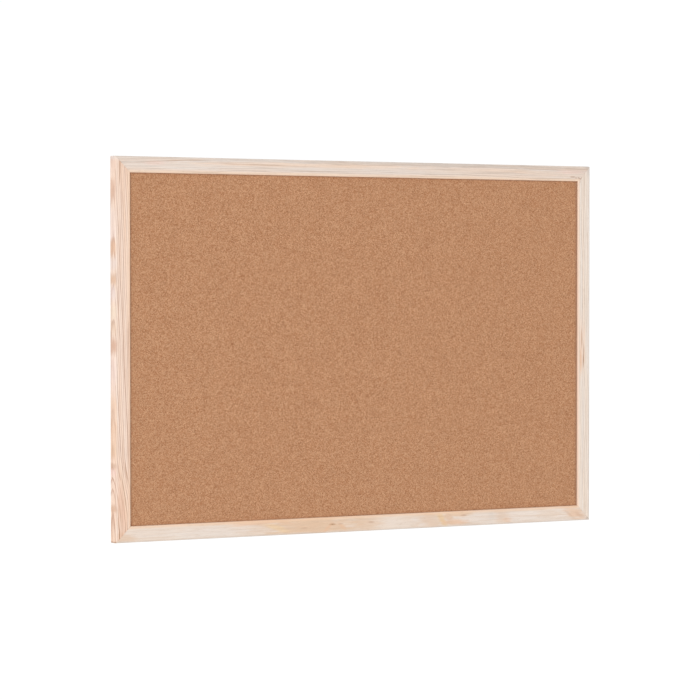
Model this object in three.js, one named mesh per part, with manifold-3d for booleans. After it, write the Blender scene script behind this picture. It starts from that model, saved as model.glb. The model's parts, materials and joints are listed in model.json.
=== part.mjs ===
// Wall cork board in a wooden frame. A cork sheet laminated on a soft fibreboard core sits in the
// groove of four mitred pine mouldings. V nails pull each mitre together from the back, and two
// ring hangers on the upright mouldings take the wall hooks.
//
// Millimetres. +X is the viewer's right, +Z is up and +Y points to the wall, so y = 0 is the back
// of the frame. The origin lies midway between the two places where the hooks carry the rings.

import * as THREE from 'three';
import { mergeVertices } from 'three/addons/utils/BufferGeometryUtils.js';
import Module from 'manifold-3d';

const wasm = await Module();
wasm.setup();

// Board, over the frame
const BOARD_WIDTH = 600;
const BOARD_HEIGHT = 400;

// Moulding, across its length
const MOULDING_FACE = 17;
const FRONT_LIP = 2.5;
const BACK_LIP = 2;
const GROOVE_DEPTH = 6;
const OUTER_EDGE_RADIUS = 3;
const INNER_EDGE_RADIUS = 1.8;
const BACK_EDGE_RADIUS = 0.5;
const MITRE_GAP = 0.2;

// Panel, three layers cut to one size
const CORK_THICKNESS = 1.5;
const CORE_THICKNESS = 5;
const BACKING_THICKNESS = 0.8;
const PANEL_EDGE_PLAY = 0.5;
const PANEL_SHAKE = 0.2;

// V nail, a bent strip with a ground leading edge
const NAIL_WING = 4;
const NAIL_HEIGHT = 7;
const NAIL_THICKNESS = 0.6;
const NAIL_EDGE_THICKNESS = 0.15;
const NAIL_GRIND = 1.2;
const NAIL_BEND_RADIUS = 0.7;
const NAIL_SINK = 0.3;
const NAIL_CLEARANCE = 0.15;
const NAIL_WALL = 1.2;

// Ring hanger: folded strap, wire ring and screw
const HANG_DROP = 42;
const HANGER_MARGIN = 1.5;
const STRAP_WIDTH = 6.5;
const STRAP_THICKNESS = 0.8;
const STRAP_LEAF_GAP = 0.1;
const STRAP_NECK_RADIUS = 1.5;
const WIRE_RADIUS = 1;
const LOOP_CLEARANCE = 0.3;
const RING_SIDE_PLAY = 0.3;
const RING_CORNER_RADIUS = 2;
const RING_SIDE_RUN = 1;
const RING_BUTT_GAP = 0.3;
const SCREW_LENGTH = 10;
const SCREW_RADIUS = 1.5;
const SCREW_TIP = 3;
const SCREW_CLEARANCE = 0.3;
const HEAD_RADIUS = 3;
const HEAD_RIM = 0.6;
const HEAD_CROWN = 1.5;
const HEAD_RING_CLEARANCE = 0.6;
const RECESS_REACH = 1.5;
const RECESS_HALF_WIDTH = 0.35;
const RECESS_DEPTH = 1.3;

// Cutters stand this far out of what they cut
const OVERRUN = 1;

// Shares and counts
const FILLET_WALL_SHARE = 0.9;
const RECESS_FLOOR_SHARE = 0.45;
const FILLET_STEPS = 6;
const BEND_STEPS = 16;
const NECK_STEPS = 5;
const NAIL_BEND_STEPS = 4;
const WIRE_SIDES = 12;
const RING_STEPS = 56;
const SCREW_SIDES = 24;
const CROWN_STEPS = 5;

// Places that follow from the sizes above
const GROOVE_WIDTH = CORK_THICKNESS + CORE_THICKNESS + BACKING_THICKNESS + PANEL_SHAKE;
const GROOVE_FRONT = BACK_LIP + GROOVE_WIDTH;
const MOULDING_DEPTH = GROOVE_FRONT + FRONT_LIP;
const GROOVE_FLOOR = MOULDING_FACE - GROOVE_DEPTH;
const STRAP_STACK = 2 * STRAP_THICKNESS + STRAP_LEAF_GAP;
const LOOP_RADIUS = WIRE_RADIUS + LOOP_CLEARANCE + STRAP_THICKNESS / 2;
const BAR_HEIGHT = LOOP_RADIUS + STRAP_THICKNESS / 2;
const RING_HALF_WIDTH = STRAP_WIDTH / 2 + RING_SIDE_PLAY + RING_CORNER_RADIUS;
const BOW_CENTRE = RING_CORNER_RADIUS + RING_SIDE_RUN;
const RING_REACH = BOW_CENTRE + RING_HALF_WIDTH + WIRE_RADIUS;
const EYE_TOP = RING_REACH - 2 * WIRE_RADIUS;
const SCREW_DROP = RING_REACH + HEAD_RING_CLEARANCE + HEAD_RADIUS;
const HANGER_INSET = RING_HALF_WIDTH + WIRE_RADIUS + HANGER_MARGIN;
const HANG_HEIGHT = BOARD_HEIGHT / 2 - HANG_DROP;
const BAR_LEVEL = HANG_HEIGHT - EYE_TOP;

const QUARTER_TURN = Math.PI / 2;

const pine = new THREE.MeshStandardMaterial({ color: '#ead2be', roughness: 0.62, metalness: 0 });
const cork = new THREE.MeshStandardMaterial({ color: '#bd8b69', roughness: 0.92, metalness: 0 });
const fibreboard = new THREE.MeshStandardMaterial({ color: '#b1946c', roughness: 0.95, metalness: 0 });
const kraft = new THREE.MeshStandardMaterial({ color: '#a88358', roughness: 0.88, metalness: 0 });
const zinc = new THREE.MeshStandardMaterial({ color: '#b6b9bb', roughness: 0.38, metalness: 1 });
const nailSteel = new THREE.MeshStandardMaterial({ color: '#8e8f91', roughness: 0.45, metalness: 1 });

// A geometry as a closed solid for joining and cutting
function toSolid(geometry) {
  const bare = geometry.clone();
  bare.deleteAttribute('normal');
  bare.deleteAttribute('uv');
  const welded = mergeVertices(bare);
  const mesh = new wasm.Mesh({
    numProp: 3,
    vertProperties: new Float32Array(welded.attributes.position.array),
    triVerts: new Uint32Array(welded.index.array),
  });
  return new wasm.Manifold(mesh);
}

function toGeometry(solid) {
  const { vertProperties, triVerts } = solid.getMesh();
  const geometry = new THREE.BufferGeometry();
  geometry.setAttribute('position', new THREE.BufferAttribute(vertProperties, 3));
  geometry.setIndex(new THREE.BufferAttribute(triVerts, 1));
  geometry.computeVertexNormals();
  return geometry;
}

function subtract(geometry, cutters) {
  const cut = cutters.reduce((solid, cutter) => solid.subtract(toSolid(cutter)), toSolid(geometry));
  return toGeometry(cut);
}

// Closed body stretched over rings of points, each ring following the same outline
function skin(outline, rings) {
  const count = outline.length;
  const faces = [];
  rings.slice(1).forEach((ring, index) => {
    const start = index * count;
    outline.forEach((point, k) => {
      const next = (k + 1) % count;
      faces.push(start + k, start + next, start + count + next);
      faces.push(start + k, start + count + next, start + count + k);
    });
  });
  const last = (rings.length - 1) * count;
  for (const [a, b, c] of THREE.ShapeUtils.triangulateShape(outline, [])) {
    faces.push(c, b, a);
    faces.push(last + a, last + b, last + c);
  }
  const geometry = new THREE.BufferGeometry();
  const positions = rings.flat().flatMap((point) => point.toArray());
  geometry.setAttribute('position', new THREE.Float32BufferAttribute(positions, 3));
  geometry.setIndex(faces);
  geometry.computeVertexNormals();
  return geometry;
}

// Closed outline through corners given as [x, y, fillet radius]; radius zero leaves a sharp corner
function filletedOutline(corners) {
  const outline = [];
  corners.forEach(([x, y, radius], index) => {
    const corner = new THREE.Vector2(x, y);
    if (radius === 0) {
      outline.push(corner);
      return;
    }
    const before = new THREE.Vector2(...corners.at(index - 1)).sub(corner).normalize();
    const after = new THREE.Vector2(...corners[(index + 1) % corners.length]).sub(corner).normalize();
    const halfAngle = Math.acos(before.dot(after)) / 2;
    const bisector = before.clone().add(after).normalize();
    const centre = corner.clone().addScaledVector(bisector, radius / Math.sin(halfAngle));
    const tangent = corner.clone().addScaledVector(before, radius / Math.tan(halfAngle));
    const turn = Math.sign(after.cross(before)) * (Math.PI - 2 * halfAngle);
    for (let step = 0; step <= FILLET_STEPS; step += 1) {
      outline.push(tangent.clone().rotateAround(centre, (turn * step) / FILLET_STEPS));
    }
  });
  return outline;
}

// Outline of a strip of sheet that starts at a point, then runs and bends; a bend to the left is
// positive, and its radius is that of the strip's middle
function stripOutline(start, heading, moves, thickness) {
  const place = start.clone();
  const samples = [{ place: place.clone(), heading }];
  for (const { run = 0, radius = 0, turn = 0, steps = 1 } of moves) {
    for (let step = 0; step < steps; step += 1) {
      const halfStep = turn / steps / 2;
      const length = run / steps + 2 * radius * Math.sin(Math.abs(halfStep));
      heading += halfStep;
      place.x += length * Math.cos(heading);
      place.y += length * Math.sin(heading);
      heading += halfStep;
      samples.push({ place: place.clone(), heading });
    }
  }
  const side = (offset) => samples.map((sample) => new THREE.Vector2(
    sample.place.x - offset * Math.sin(sample.heading),
    sample.place.y + offset * Math.cos(sample.heading),
  ));
  return [...side(-thickness / 2), ...side(thickness / 2).reverse()];
}

// V nail, wings towards +X and +Z, and the slot it leaves: rings run from the back into the wood
function nailOutline(thickness, wing) {
  const straight = wing - NAIL_BEND_RADIUS;
  const moves = [
    { run: straight },
    { radius: NAIL_BEND_RADIUS, turn: -QUARTER_TURN, steps: NAIL_BEND_STEPS },
    { run: straight },
  ];
  return stripOutline(new THREE.Vector2(wing, 0), Math.PI, moves, thickness);
}

function nailRing(outline, depth) {
  return outline.map(({ x, y }) => new THREE.Vector3(x, -depth, y));
}

function vNail() {
  const body = nailOutline(NAIL_THICKNESS, NAIL_WING);
  const edge = nailOutline(NAIL_EDGE_THICKNESS, NAIL_WING);
  const tip = NAIL_SINK + NAIL_HEIGHT;
  return skin(body, [
    nailRing(body, NAIL_SINK),
    nailRing(body, tip - NAIL_GRIND),
    nailRing(edge, tip),
  ]);
}

function nailSlot() {
  const width = NAIL_THICKNESS + 2 * NAIL_CLEARANCE;
  const slot = nailOutline(width, NAIL_WING + NAIL_CLEARANCE);
  const floor = NAIL_SINK + NAIL_HEIGHT + NAIL_CLEARANCE;
  return skin(slot, [nailRing(slot, -OVERRUN), nailRing(slot, floor)]);
}

// Where the V nails' bends lie along a mitre, measured in from both outer edges
const NAIL_PLACES = { outer: NAIL_WALL + NAIL_WING, inner: GROOVE_FLOOR - NAIL_WALL };

// Mitred moulding along X: its outer edge lies at z = 0 and its back at y = 0
function moulding(length, cutters) {
  const outer = Math.min(OUTER_EDGE_RADIUS, GROOVE_FLOOR * FILLET_WALL_SHARE);
  const inner = Math.min(INNER_EDGE_RADIUS, FRONT_LIP * FILLET_WALL_SHARE);
  const back = Math.min(BACK_EDGE_RADIUS, BACK_LIP * FILLET_WALL_SHARE);
  const outline = filletedOutline([
    [0, 0, back],
    [MOULDING_FACE, 0, back],
    [MOULDING_FACE, BACK_LIP, 0],
    [GROOVE_FLOOR, BACK_LIP, 0],
    [GROOVE_FLOOR, GROOVE_FRONT, 0],
    [MOULDING_FACE, GROOVE_FRONT, 0],
    [MOULDING_FACE, MOULDING_DEPTH, inner],
    [0, MOULDING_DEPTH, outer],
  ]);
  const endGap = (MITRE_GAP / 2) * Math.SQRT2;
  const end = (side) => outline.map(({ x: inset, y: height }) => {
    const reach = length / 2 - inset - endGap;
    return new THREE.Vector3(side * reach, -height, -inset);
  });
  const slots = Object.values(NAIL_PLACES).flatMap((inset) => [
    nailSlot().translate(length / 2 - inset, 0, -inset),
    nailSlot().rotateY(-QUARTER_TURN).translate(inset - length / 2, 0, -inset),
  ]);
  return subtract(skin(outline, [end(1), end(-1)]), [...slots, ...cutters]);
}

function panelLayer(thickness) {
  const shortfall = 2 * (GROOVE_FLOOR + PANEL_EDGE_PLAY);
  return new THREE.BoxGeometry(BOARD_WIDTH - shortfall, thickness, BOARD_HEIGHT - shortfall);
}

// Strap of the hanger: one strip folded round the ring's bar, both leaves trimmed and drilled at once.
// It lies on y = 0 with the bar's axis above z = 0, and its leaves run down.
function strap() {
  const tail = SCREW_DROP + STRAP_WIDTH;
  const rise = STRAP_THICKNESS + STRAP_LEAF_GAP + STRAP_NECK_RADIUS - LOOP_RADIUS;
  const neckTurn = Math.acos(rise / (LOOP_RADIUS + STRAP_NECK_RADIUS));
  const neckSpan = (LOOP_RADIUS + STRAP_NECK_RADIUS) * Math.sin(neckTurn);
  const side = stripOutline(new THREE.Vector2(-tail, STRAP_THICKNESS / 2), 0, [
    { run: tail },
    { radius: LOOP_RADIUS, turn: Math.PI + neckTurn, steps: BEND_STEPS },
    { radius: STRAP_NECK_RADIUS, turn: -neckTurn, steps: NECK_STEPS },
    { run: tail - neckSpan },
  ], STRAP_THICKNESS);
  const folded = new THREE.ExtrudeGeometry(new THREE.Shape(side), {
    depth: STRAP_WIDTH,
    bevelEnabled: false,
  });
  folded.rotateY(-QUARTER_TURN).translate(STRAP_WIDTH / 2, 0, 0);

  const plan = new THREE.Shape();
  plan.moveTo(-STRAP_WIDTH / 2, BAR_HEIGHT + OVERRUN);
  plan.lineTo(-STRAP_WIDTH / 2, -SCREW_DROP);
  plan.absarc(0, -SCREW_DROP, STRAP_WIDTH / 2, Math.PI, 2 * Math.PI);
  plan.lineTo(STRAP_WIDTH / 2, BAR_HEIGHT + OVERRUN);
  const hole = new THREE.Path();
  hole.absarc(0, -SCREW_DROP, SCREW_RADIUS + SCREW_CLEARANCE, 0, 2 * Math.PI);
  plan.holes.push(hole);
  const trim = new THREE.ExtrudeGeometry(plan, {
    depth: 2 * (BAR_HEIGHT + OVERRUN),
    bevelEnabled: false,
    curveSegments: SCREW_SIDES / 2,
  });
  trim.rotateX(QUARTER_TURN).translate(0, 2 * BAR_HEIGHT + OVERRUN, 0);
  return toGeometry(toSolid(folded).intersect(toSolid(trim)));
}

// The wire's middle line, from one butt end in the bar round the bow to the other
class RingLine extends THREE.Curve {
  constructor() {
    super();
    const barEnd = RING_HALF_WIDTH - RING_CORNER_RADIUS;
    this.outline = new THREE.Path();
    this.outline.moveTo(RING_BUTT_GAP / 2, 0);
    this.outline.lineTo(barEnd, 0);
    this.outline.absarc(barEnd, RING_CORNER_RADIUS, RING_CORNER_RADIUS, -QUARTER_TURN, 0);
    this.outline.lineTo(RING_HALF_WIDTH, BOW_CENTRE);
    this.outline.absarc(0, BOW_CENTRE, RING_HALF_WIDTH, 0, Math.PI);
    this.outline.lineTo(-RING_HALF_WIDTH, RING_CORNER_RADIUS);
    this.outline.absarc(-barEnd, RING_CORNER_RADIUS, RING_CORNER_RADIUS, Math.PI, 3 * QUARTER_TURN);
    this.outline.lineTo(-RING_BUTT_GAP / 2, 0);
  }

  getPoint(share, target = new THREE.Vector3()) {
    const { x, y } = this.outline.getPoint(share);
    return target.set(x, 0, y);
  }
}

function ring() {
  const section = new THREE.Shape();
  section.absarc(0, 0, WIRE_RADIUS, 0, 2 * Math.PI);
  return new THREE.ExtrudeGeometry(section, {
    extrudePath: new RingLine(),
    steps: RING_STEPS,
    curveSegments: WIRE_SIDES / 2,
    bevelEnabled: false,
  });
}

function crossOutline(reach, halfWidth) {
  const arm = [[reach, -halfWidth], [reach, halfWidth], [halfWidth, halfWidth]];
  return [0, 1, 2, 3].flatMap((quarter) => arm.map(([x, y]) => (
    new THREE.Vector2(x, y).rotateAround(new THREE.Vector2(), quarter * QUARTER_TURN)
  )));
}

// Pan head screw along Y with the seat of its head at y = 0
function screw() {
  const profile = [
    new THREE.Vector2(0, -SCREW_LENGTH),
    new THREE.Vector2(SCREW_RADIUS, SCREW_TIP - SCREW_LENGTH),
    new THREE.Vector2(SCREW_RADIUS, 0),
    new THREE.Vector2(HEAD_RADIUS, 0),
  ];
  for (let step = 0; step < CROWN_STEPS; step += 1) {
    const angle = (QUARTER_TURN * step) / CROWN_STEPS;
    profile.push(new THREE.Vector2(
      HEAD_RADIUS * Math.cos(angle),
      HEAD_RIM + HEAD_CROWN * Math.sin(angle),
    ));
  }
  const top = HEAD_RIM + HEAD_CROWN;
  profile.push(new THREE.Vector2(0, top));
  const turned = new THREE.LatheGeometry(profile, SCREW_SIDES);

  const mouth = crossOutline(RECESS_REACH, RECESS_HALF_WIDTH);
  const ringAt = (share, height) => mouth.map(({ x, y }) => (
    new THREE.Vector3(x * share, height, -y * share)
  ));
  const recess = skin(mouth, [
    ringAt(RECESS_FLOOR_SHARE, top - RECESS_DEPTH),
    ringAt(1, top),
    ringAt(1, top + OVERRUN),
  ]);
  return subtract(turned, [recess]);
}

function pilotHole() {
  const depth = SCREW_LENGTH - STRAP_STACK + SCREW_CLEARANCE;
  const radius = SCREW_RADIUS + SCREW_CLEARANCE;
  const drill = new THREE.CylinderGeometry(radius, radius, depth + OVERRUN, SCREW_SIDES);
  return drill.translate(0, (OVERRUN - depth) / 2, 0);
}

function piece(name, geometry, material) {
  const mesh = new THREE.Mesh(geometry, material.clone());
  mesh.name = name;
  return mesh;
}

// Frame: each moulding is turned about Y until its outer edge faces out of the board
function frame() {
  const screwLevel = BAR_LEVEL - SCREW_DROP;
  const pilotAt = (level) => pilotHole().translate(level, 0, -HANGER_INSET);
  const sides = [
    ['frame_rail_top', BOARD_WIDTH, [], 0, [0, BOARD_HEIGHT / 2]],
    ['frame_rail_bottom', BOARD_WIDTH, [], 2 * QUARTER_TURN, [0, -BOARD_HEIGHT / 2]],
    ['frame_stile_left', BOARD_HEIGHT, [pilotAt(screwLevel)], -QUARTER_TURN, [-BOARD_WIDTH / 2, 0]],
    ['frame_stile_right', BOARD_HEIGHT, [pilotAt(-screwLevel)], QUARTER_TURN, [BOARD_WIDTH / 2, 0]],
  ];
  const group = new THREE.Group();
  for (const [name, length, cutters, turn, [x, z]] of sides) {
    const member = piece(name, moulding(length, cutters), pine);
    member.rotation.y = turn;
    member.position.set(x, 0, z);
    group.add(member);
  }
  return group;
}

function cornerNails() {
  const corners = [
    ['top_right', 1, 1, 0],
    ['top_left', -1, 1, -QUARTER_TURN],
    ['bottom_left', -1, -1, 2 * QUARTER_TURN],
    ['bottom_right', 1, -1, QUARTER_TURN],
  ];
  const group = new THREE.Group();
  for (const [corner, right, up, turn] of corners) {
    for (const [row, inset] of Object.entries(NAIL_PLACES)) {
      const nail = piece(`corner_nail_${corner}_${row}`, vNail(), nailSteel);
      nail.rotation.y = turn;
      nail.position.x = right * (BOARD_WIDTH / 2 - inset);
      nail.position.z = up * (BOARD_HEIGHT / 2 - inset);
      group.add(nail);
    }
  }
  return group;
}

// Panel: its cork face bears on the front lip, and the back lip leaves a little shake
function panel() {
  const layers = [
    ['cork_sheet', CORK_THICKNESS, cork],
    ['fibreboard_core', CORE_THICKNESS, fibreboard],
    ['backing_sheet', BACKING_THICKNESS, kraft],
  ];
  const group = new THREE.Group();
  let face = -GROOVE_FRONT;
  for (const [name, thickness, material] of layers) {
    const layer = piece(name, panelLayer(thickness), material);
    layer.position.y = face + thickness / 2;
    face += thickness;
    group.add(layer);
  }
  return group;
}

function hanger(side) {
  const group = new THREE.Group();
  const bow = piece(`hanger_ring_${side}`, ring(), zinc);
  bow.position.y = BAR_HEIGHT;
  const fastener = piece(`hanger_screw_${side}`, screw(), zinc);
  fastener.position.set(0, STRAP_STACK, -SCREW_DROP);
  group.add(piece(`hanger_strap_${side}`, strap(), zinc), bow, fastener);
  return group;
}

const board = new THREE.Group();
board.position.z = -HANG_HEIGHT;
board.add(frame(), cornerNails(), panel());
for (const [side, right] of [['left', -1], ['right', 1]]) {
  const unit = hanger(side);
  unit.position.set(right * (BOARD_WIDTH / 2 - HANGER_INSET), 0, BAR_LEVEL);
  board.add(unit);
}

const corkBoard = new THREE.Group();
corkBoard.add(board);

export default corkBoard;
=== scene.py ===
# %% [markdown]
# # A cork board in a pine frame
#
# The real board is a cork sheet glued to soft fibreboard, held in the groove of four mitred pine
# mouldings, with two ring hangers on its back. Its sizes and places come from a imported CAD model,
# which is loaded first and never changed. Each cell below adds one thing: the camera, the light, a
# finish or a piece.

import json
import math
from collections import namedtuple

import bmesh
import bpy
from mathutils import Matrix, Vector, noise

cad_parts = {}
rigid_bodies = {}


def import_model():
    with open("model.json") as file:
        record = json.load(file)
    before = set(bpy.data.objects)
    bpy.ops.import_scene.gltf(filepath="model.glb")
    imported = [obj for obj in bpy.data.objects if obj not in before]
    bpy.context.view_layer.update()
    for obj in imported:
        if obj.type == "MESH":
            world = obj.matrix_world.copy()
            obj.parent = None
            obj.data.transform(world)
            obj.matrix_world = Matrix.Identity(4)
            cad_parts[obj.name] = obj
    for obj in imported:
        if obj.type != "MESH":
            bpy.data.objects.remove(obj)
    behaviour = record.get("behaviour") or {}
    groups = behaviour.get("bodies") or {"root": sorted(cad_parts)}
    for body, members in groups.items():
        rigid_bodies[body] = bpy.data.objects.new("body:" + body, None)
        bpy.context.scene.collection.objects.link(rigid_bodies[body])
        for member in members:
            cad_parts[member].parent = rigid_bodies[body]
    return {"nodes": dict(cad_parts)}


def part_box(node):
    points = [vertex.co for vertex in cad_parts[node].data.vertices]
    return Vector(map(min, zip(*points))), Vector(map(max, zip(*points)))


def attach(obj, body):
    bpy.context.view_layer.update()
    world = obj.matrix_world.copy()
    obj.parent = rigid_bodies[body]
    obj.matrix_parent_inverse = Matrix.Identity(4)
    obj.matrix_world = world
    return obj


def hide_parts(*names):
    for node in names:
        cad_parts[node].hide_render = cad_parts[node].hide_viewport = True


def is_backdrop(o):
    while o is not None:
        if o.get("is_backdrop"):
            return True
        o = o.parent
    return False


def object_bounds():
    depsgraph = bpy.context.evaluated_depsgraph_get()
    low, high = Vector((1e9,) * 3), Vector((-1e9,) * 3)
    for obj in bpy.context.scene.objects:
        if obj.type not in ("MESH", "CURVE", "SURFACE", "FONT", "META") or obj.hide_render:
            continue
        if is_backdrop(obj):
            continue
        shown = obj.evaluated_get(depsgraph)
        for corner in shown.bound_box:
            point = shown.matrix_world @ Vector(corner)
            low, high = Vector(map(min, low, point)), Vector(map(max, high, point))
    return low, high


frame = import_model()
cad_box = [list(corner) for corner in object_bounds()]
print("CAD nodes:", len(frame["nodes"]), "in the box", cad_box)

# %% [markdown]
# ## Sizes
#
# A piece that is modelled again has to fit the one it stands for, so its sizes are measured on the
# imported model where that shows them. The origin lies between the two hooks, X runs along the board,
# Z up and Y into the wall. Small sizes that a box can't tell are the drawing's, in millimetres.

# %% Measure the board
MM = 0.001

rail_low, rail_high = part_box("frame_rail_top")
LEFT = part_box("frame_stile_left")[0].x
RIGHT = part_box("frame_stile_right")[1].x
TOP = rail_high.z
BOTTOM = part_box("frame_rail_bottom")[0].z
FRONT = rail_low.y
BACK = rail_high.y
MIDDLE = Vector(((LEFT + RIGHT) / 2, BACK, (TOP + BOTTOM) / 2))
FACE = rail_high.z - rail_low.z
DEPTH = BACK - FRONT
print(f"board {RIGHT - LEFT:.3f} x {TOP - BOTTOM:.3f} m, moulding {FACE:.4f} x {DEPTH:.4f} m")

# %% [markdown]
# ## Camera
#
# The photograph was taken with a long lens from the board's left, a little above its middle. A
# camera can be placed by eye, or worked out from edges whose real places are known. Here the lines
# of the frame and of the cork were matched to the photograph, which fixes the angle, the distance
# and the lens at once and needs no shift.

# %% Place the camera
PHOTO_SIDE = 700
FOCAL_LENGTH_IN_PIXELS = 3070
SENSOR_WIDTH = 36
VIEW_AZIMUTH = math.radians(-31.175)
VIEW_ELEVATION = math.radians(1.34)
VIEW_DISTANCE = 3.3185
VIEW_RIGHT = -0.01522
VIEW_UP = -0.0038
FARTHEST_SEEN = 50


def direction(azimuth, elevation):
    """Unit vector from the board towards a lamp or camera; azimuth 0 is straight in front."""
    level = math.cos(elevation)
    return Vector((math.sin(azimuth) * level, -math.cos(azimuth) * level, math.sin(elevation)))


towards_camera = direction(VIEW_AZIMUTH, VIEW_ELEVATION)
camera_data = bpy.data.cameras.new("photo_camera")
camera_data.sensor_width = SENSOR_WIDTH
camera_data.lens = SENSOR_WIDTH * FOCAL_LENGTH_IN_PIXELS / PHOTO_SIDE
camera_data.clip_end = FARTHEST_SEEN
camera = bpy.data.objects.new("photo_camera", camera_data)
bpy.context.scene.collection.objects.link(camera)
camera.rotation_mode = "QUATERNION"
camera.rotation_quaternion = (-towards_camera).to_track_quat("-Z", "Y")
camera_right = camera.rotation_quaternion @ Vector((1, 0, 0))
camera_up = camera.rotation_quaternion @ Vector((0, 1, 0))
aim = Vector((MIDDLE.x, FRONT, MIDDLE.z)) + camera_right * VIEW_RIGHT + camera_up * VIEW_UP
camera.location = aim + towards_camera * VIEW_DISTANCE
bpy.context.scene.camera = camera
bpy.context.scene.view_settings.view_transform = "Standard"
print("camera at", [round(value, 3) for value in camera.location])
print("lens", round(camera_data.lens, 1), "mm")

# %% [markdown]
# ## A pen for node trees
#
# Every finish below is a node tree. Nodes can be drawn in the shader editor or made in Python, and
# the second way is repeatable but wordy. This small class adds a node, wires or sets whatever it is
# given, and hands back the output, so that a tree reads like a sum.

# %% Node pen
class Pen:
    """Draws nodes in one tree. What it is given is a number, a colour or another node's output."""

    def __init__(self, tree):
        self.tree = tree

    def give(self, socket, value):
        if isinstance(value, bpy.types.NodeSocket):
            self.tree.links.new(value, socket)
        else:
            socket.default_value = value

    def add(self, kind, given, **settings):
        made = self.tree.nodes.new("ShaderNode" + kind)
        for name, value in settings.items():
            setattr(made, name, value)
        for socket, value in given.items():
            self.give(made.inputs[socket], value)
        return made

    def group(self, tree, given):
        """The outputs of a shared group that is placed here with its own values."""
        return self.add("Group", given, node_tree=tree).outputs

    def drawn(self):
        """Says how many nodes the tree has, and hands the tree over."""
        print(self.tree.name + ":", len(self.tree.nodes), "nodes")
        return self.tree

    def math(self, operation, first, second=0.0):
        return self.add("Math", {0: first, 1: second}, operation=operation).outputs[0]

    def times(self, first, *others):
        for other in others:
            first = self.math("MULTIPLY", first, other)
        return first

    def plus(self, first, second, share):
        """The first and a share of the second."""
        return self.math("ADD", first, self.times(second, share))

    def vector(self, operation, first, second=(0, 0, 0)):
        made = self.add("VectorMath", {0: first, 1: second}, operation=operation)
        return made.outputs["Value" if operation == "LENGTH" else "Vector"]

    def scale(self, vector, factor):
        given = {"Vector": vector, "Scale": factor}
        return self.add("VectorMath", given, operation="SCALE").outputs["Vector"]

    def split(self, vector):
        return self.add("SeparateXYZ", {"Vector": vector}).outputs

    def ramp(self, value, low, high, start=0.0, end=1.0):
        """Smooth step from start to end as the value goes from low to high."""
        given = {"Value": value, "From Min": low, "From Max": high, "To Min": start, "To Max": end}
        return self.add("MapRange", given, interpolation_type="SMOOTHSTEP").outputs["Result"]

    def mix(self, share, first, second):
        """Two colours mixed; a Mix node keeps its colour sockets at places 6 and 7, and 2 going out."""
        return self.add("Mix", {0: share, 6: first, 7: second}, data_type="RGBA").outputs[2]

    def noise(self, place, stretch, detail=2.0):
        """Cloudy values round a half; stretch is how many clouds fit in a millimetre each way."""
        given = {"Vector": self.vector("MULTIPLY", place, stretch), "Scale": 1.0, "Detail": detail}
        return self.add("TexNoise", given).outputs["Fac"]

    def sway(self, place, stretch, detail=2.0):
        """The same, swinging round zero."""
        return self.math("SUBTRACT", self.noise(place, stretch, detail), 0.5)


def paint(red, green, blue):
    """A colour as picked on a screen, from 0 to 255, as the linear values that shaders take."""
    linear = []
    for value in (red, green, blue):
        share = value / 255
        linear.append(share / 12.92 if share <= 0.04045 else ((share + 0.055) / 1.055) ** 2.4)
    return (*linear, 1.0)


print("pen ready; mid grey is", [round(value, 3) for value in paint(128, 128, 128)])

# %% [markdown]
# ## Light and floor
#
# A shop photograph of a board is lit by large soft boxes in a white room, so shadows are faint. A
# pale world gives the light from all round, one wide soft box stands in front on the left, and one
# like it behind the board makes its back readable from there. Where the camera, a mirror or glass
# looks at the world, Light Path shows plain white, which adds no light to the board. The floor is
# white in the same way and lies far enough below to keep the shadow out of the picture. Backfacing
# makes it clear from underneath, so that the board can be looked at from below too.

# %% World
AMBIENT = 0.8
WHITE_GLOW = 1.02

world = bpy.data.worlds.new("white_room")
bpy.context.scene.world = world
world.use_nodes = True
world.node_tree.nodes.clear()
room = Pen(world.node_tree)


def looked_at(pen):
    """One where the camera, a reflection or glass looks, zero where light is gathered."""
    path = pen.add("LightPath", {})
    mirrored = pen.math("MAXIMUM", path.outputs["Is Glossy Ray"], path.outputs["Is Transmission Ray"])
    return pen.math("MAXIMUM", path.outputs["Is Camera Ray"], mirrored)


strength = room.ramp(looked_at(room), 0, 1, AMBIENT, WHITE_GLOW)
sky = room.add("Background", {"Color": paint(255, 255, 255), "Strength": strength})
room.add("OutputWorld", {"Surface": sky.outputs["Background"]})
print("ambient light", AMBIENT)

# %% Soft boxes
BOX_DISTANCE = 6
BOX_WIDTH = 5
BOX_HEIGHT = 3.6
BOX_POWER = 90


def soft_box(name, azimuth, elevation):
    """A rectangle of light that faces the middle of the board; its power is in watts."""
    data = bpy.data.lights.new(name, "AREA")
    data.shape = "RECTANGLE"
    data.size = BOX_WIDTH
    data.size_y = BOX_HEIGHT
    data.energy = BOX_POWER
    box = bpy.data.objects.new(name, data)
    bpy.context.scene.collection.objects.link(box)
    away = direction(math.radians(azimuth), math.radians(elevation))
    box.location = MIDDLE + away * BOX_DISTANCE
    box.rotation_mode = "QUATERNION"
    box.rotation_quaternion = (-away).to_track_quat("-Z", "Y")
    box.visible_camera = False


soft_box("front_box", azimuth=-50, elevation=14)
soft_box("back_box", azimuth=165, elevation=24)
print("two soft boxes of", BOX_POWER, "watts")

# %% Floor
FLOOR_DROP = 0.42
FLOOR_SIDE = 14
FLOOR_GLOW = 0.9
FLOOR_WHITE = 1.05

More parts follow.
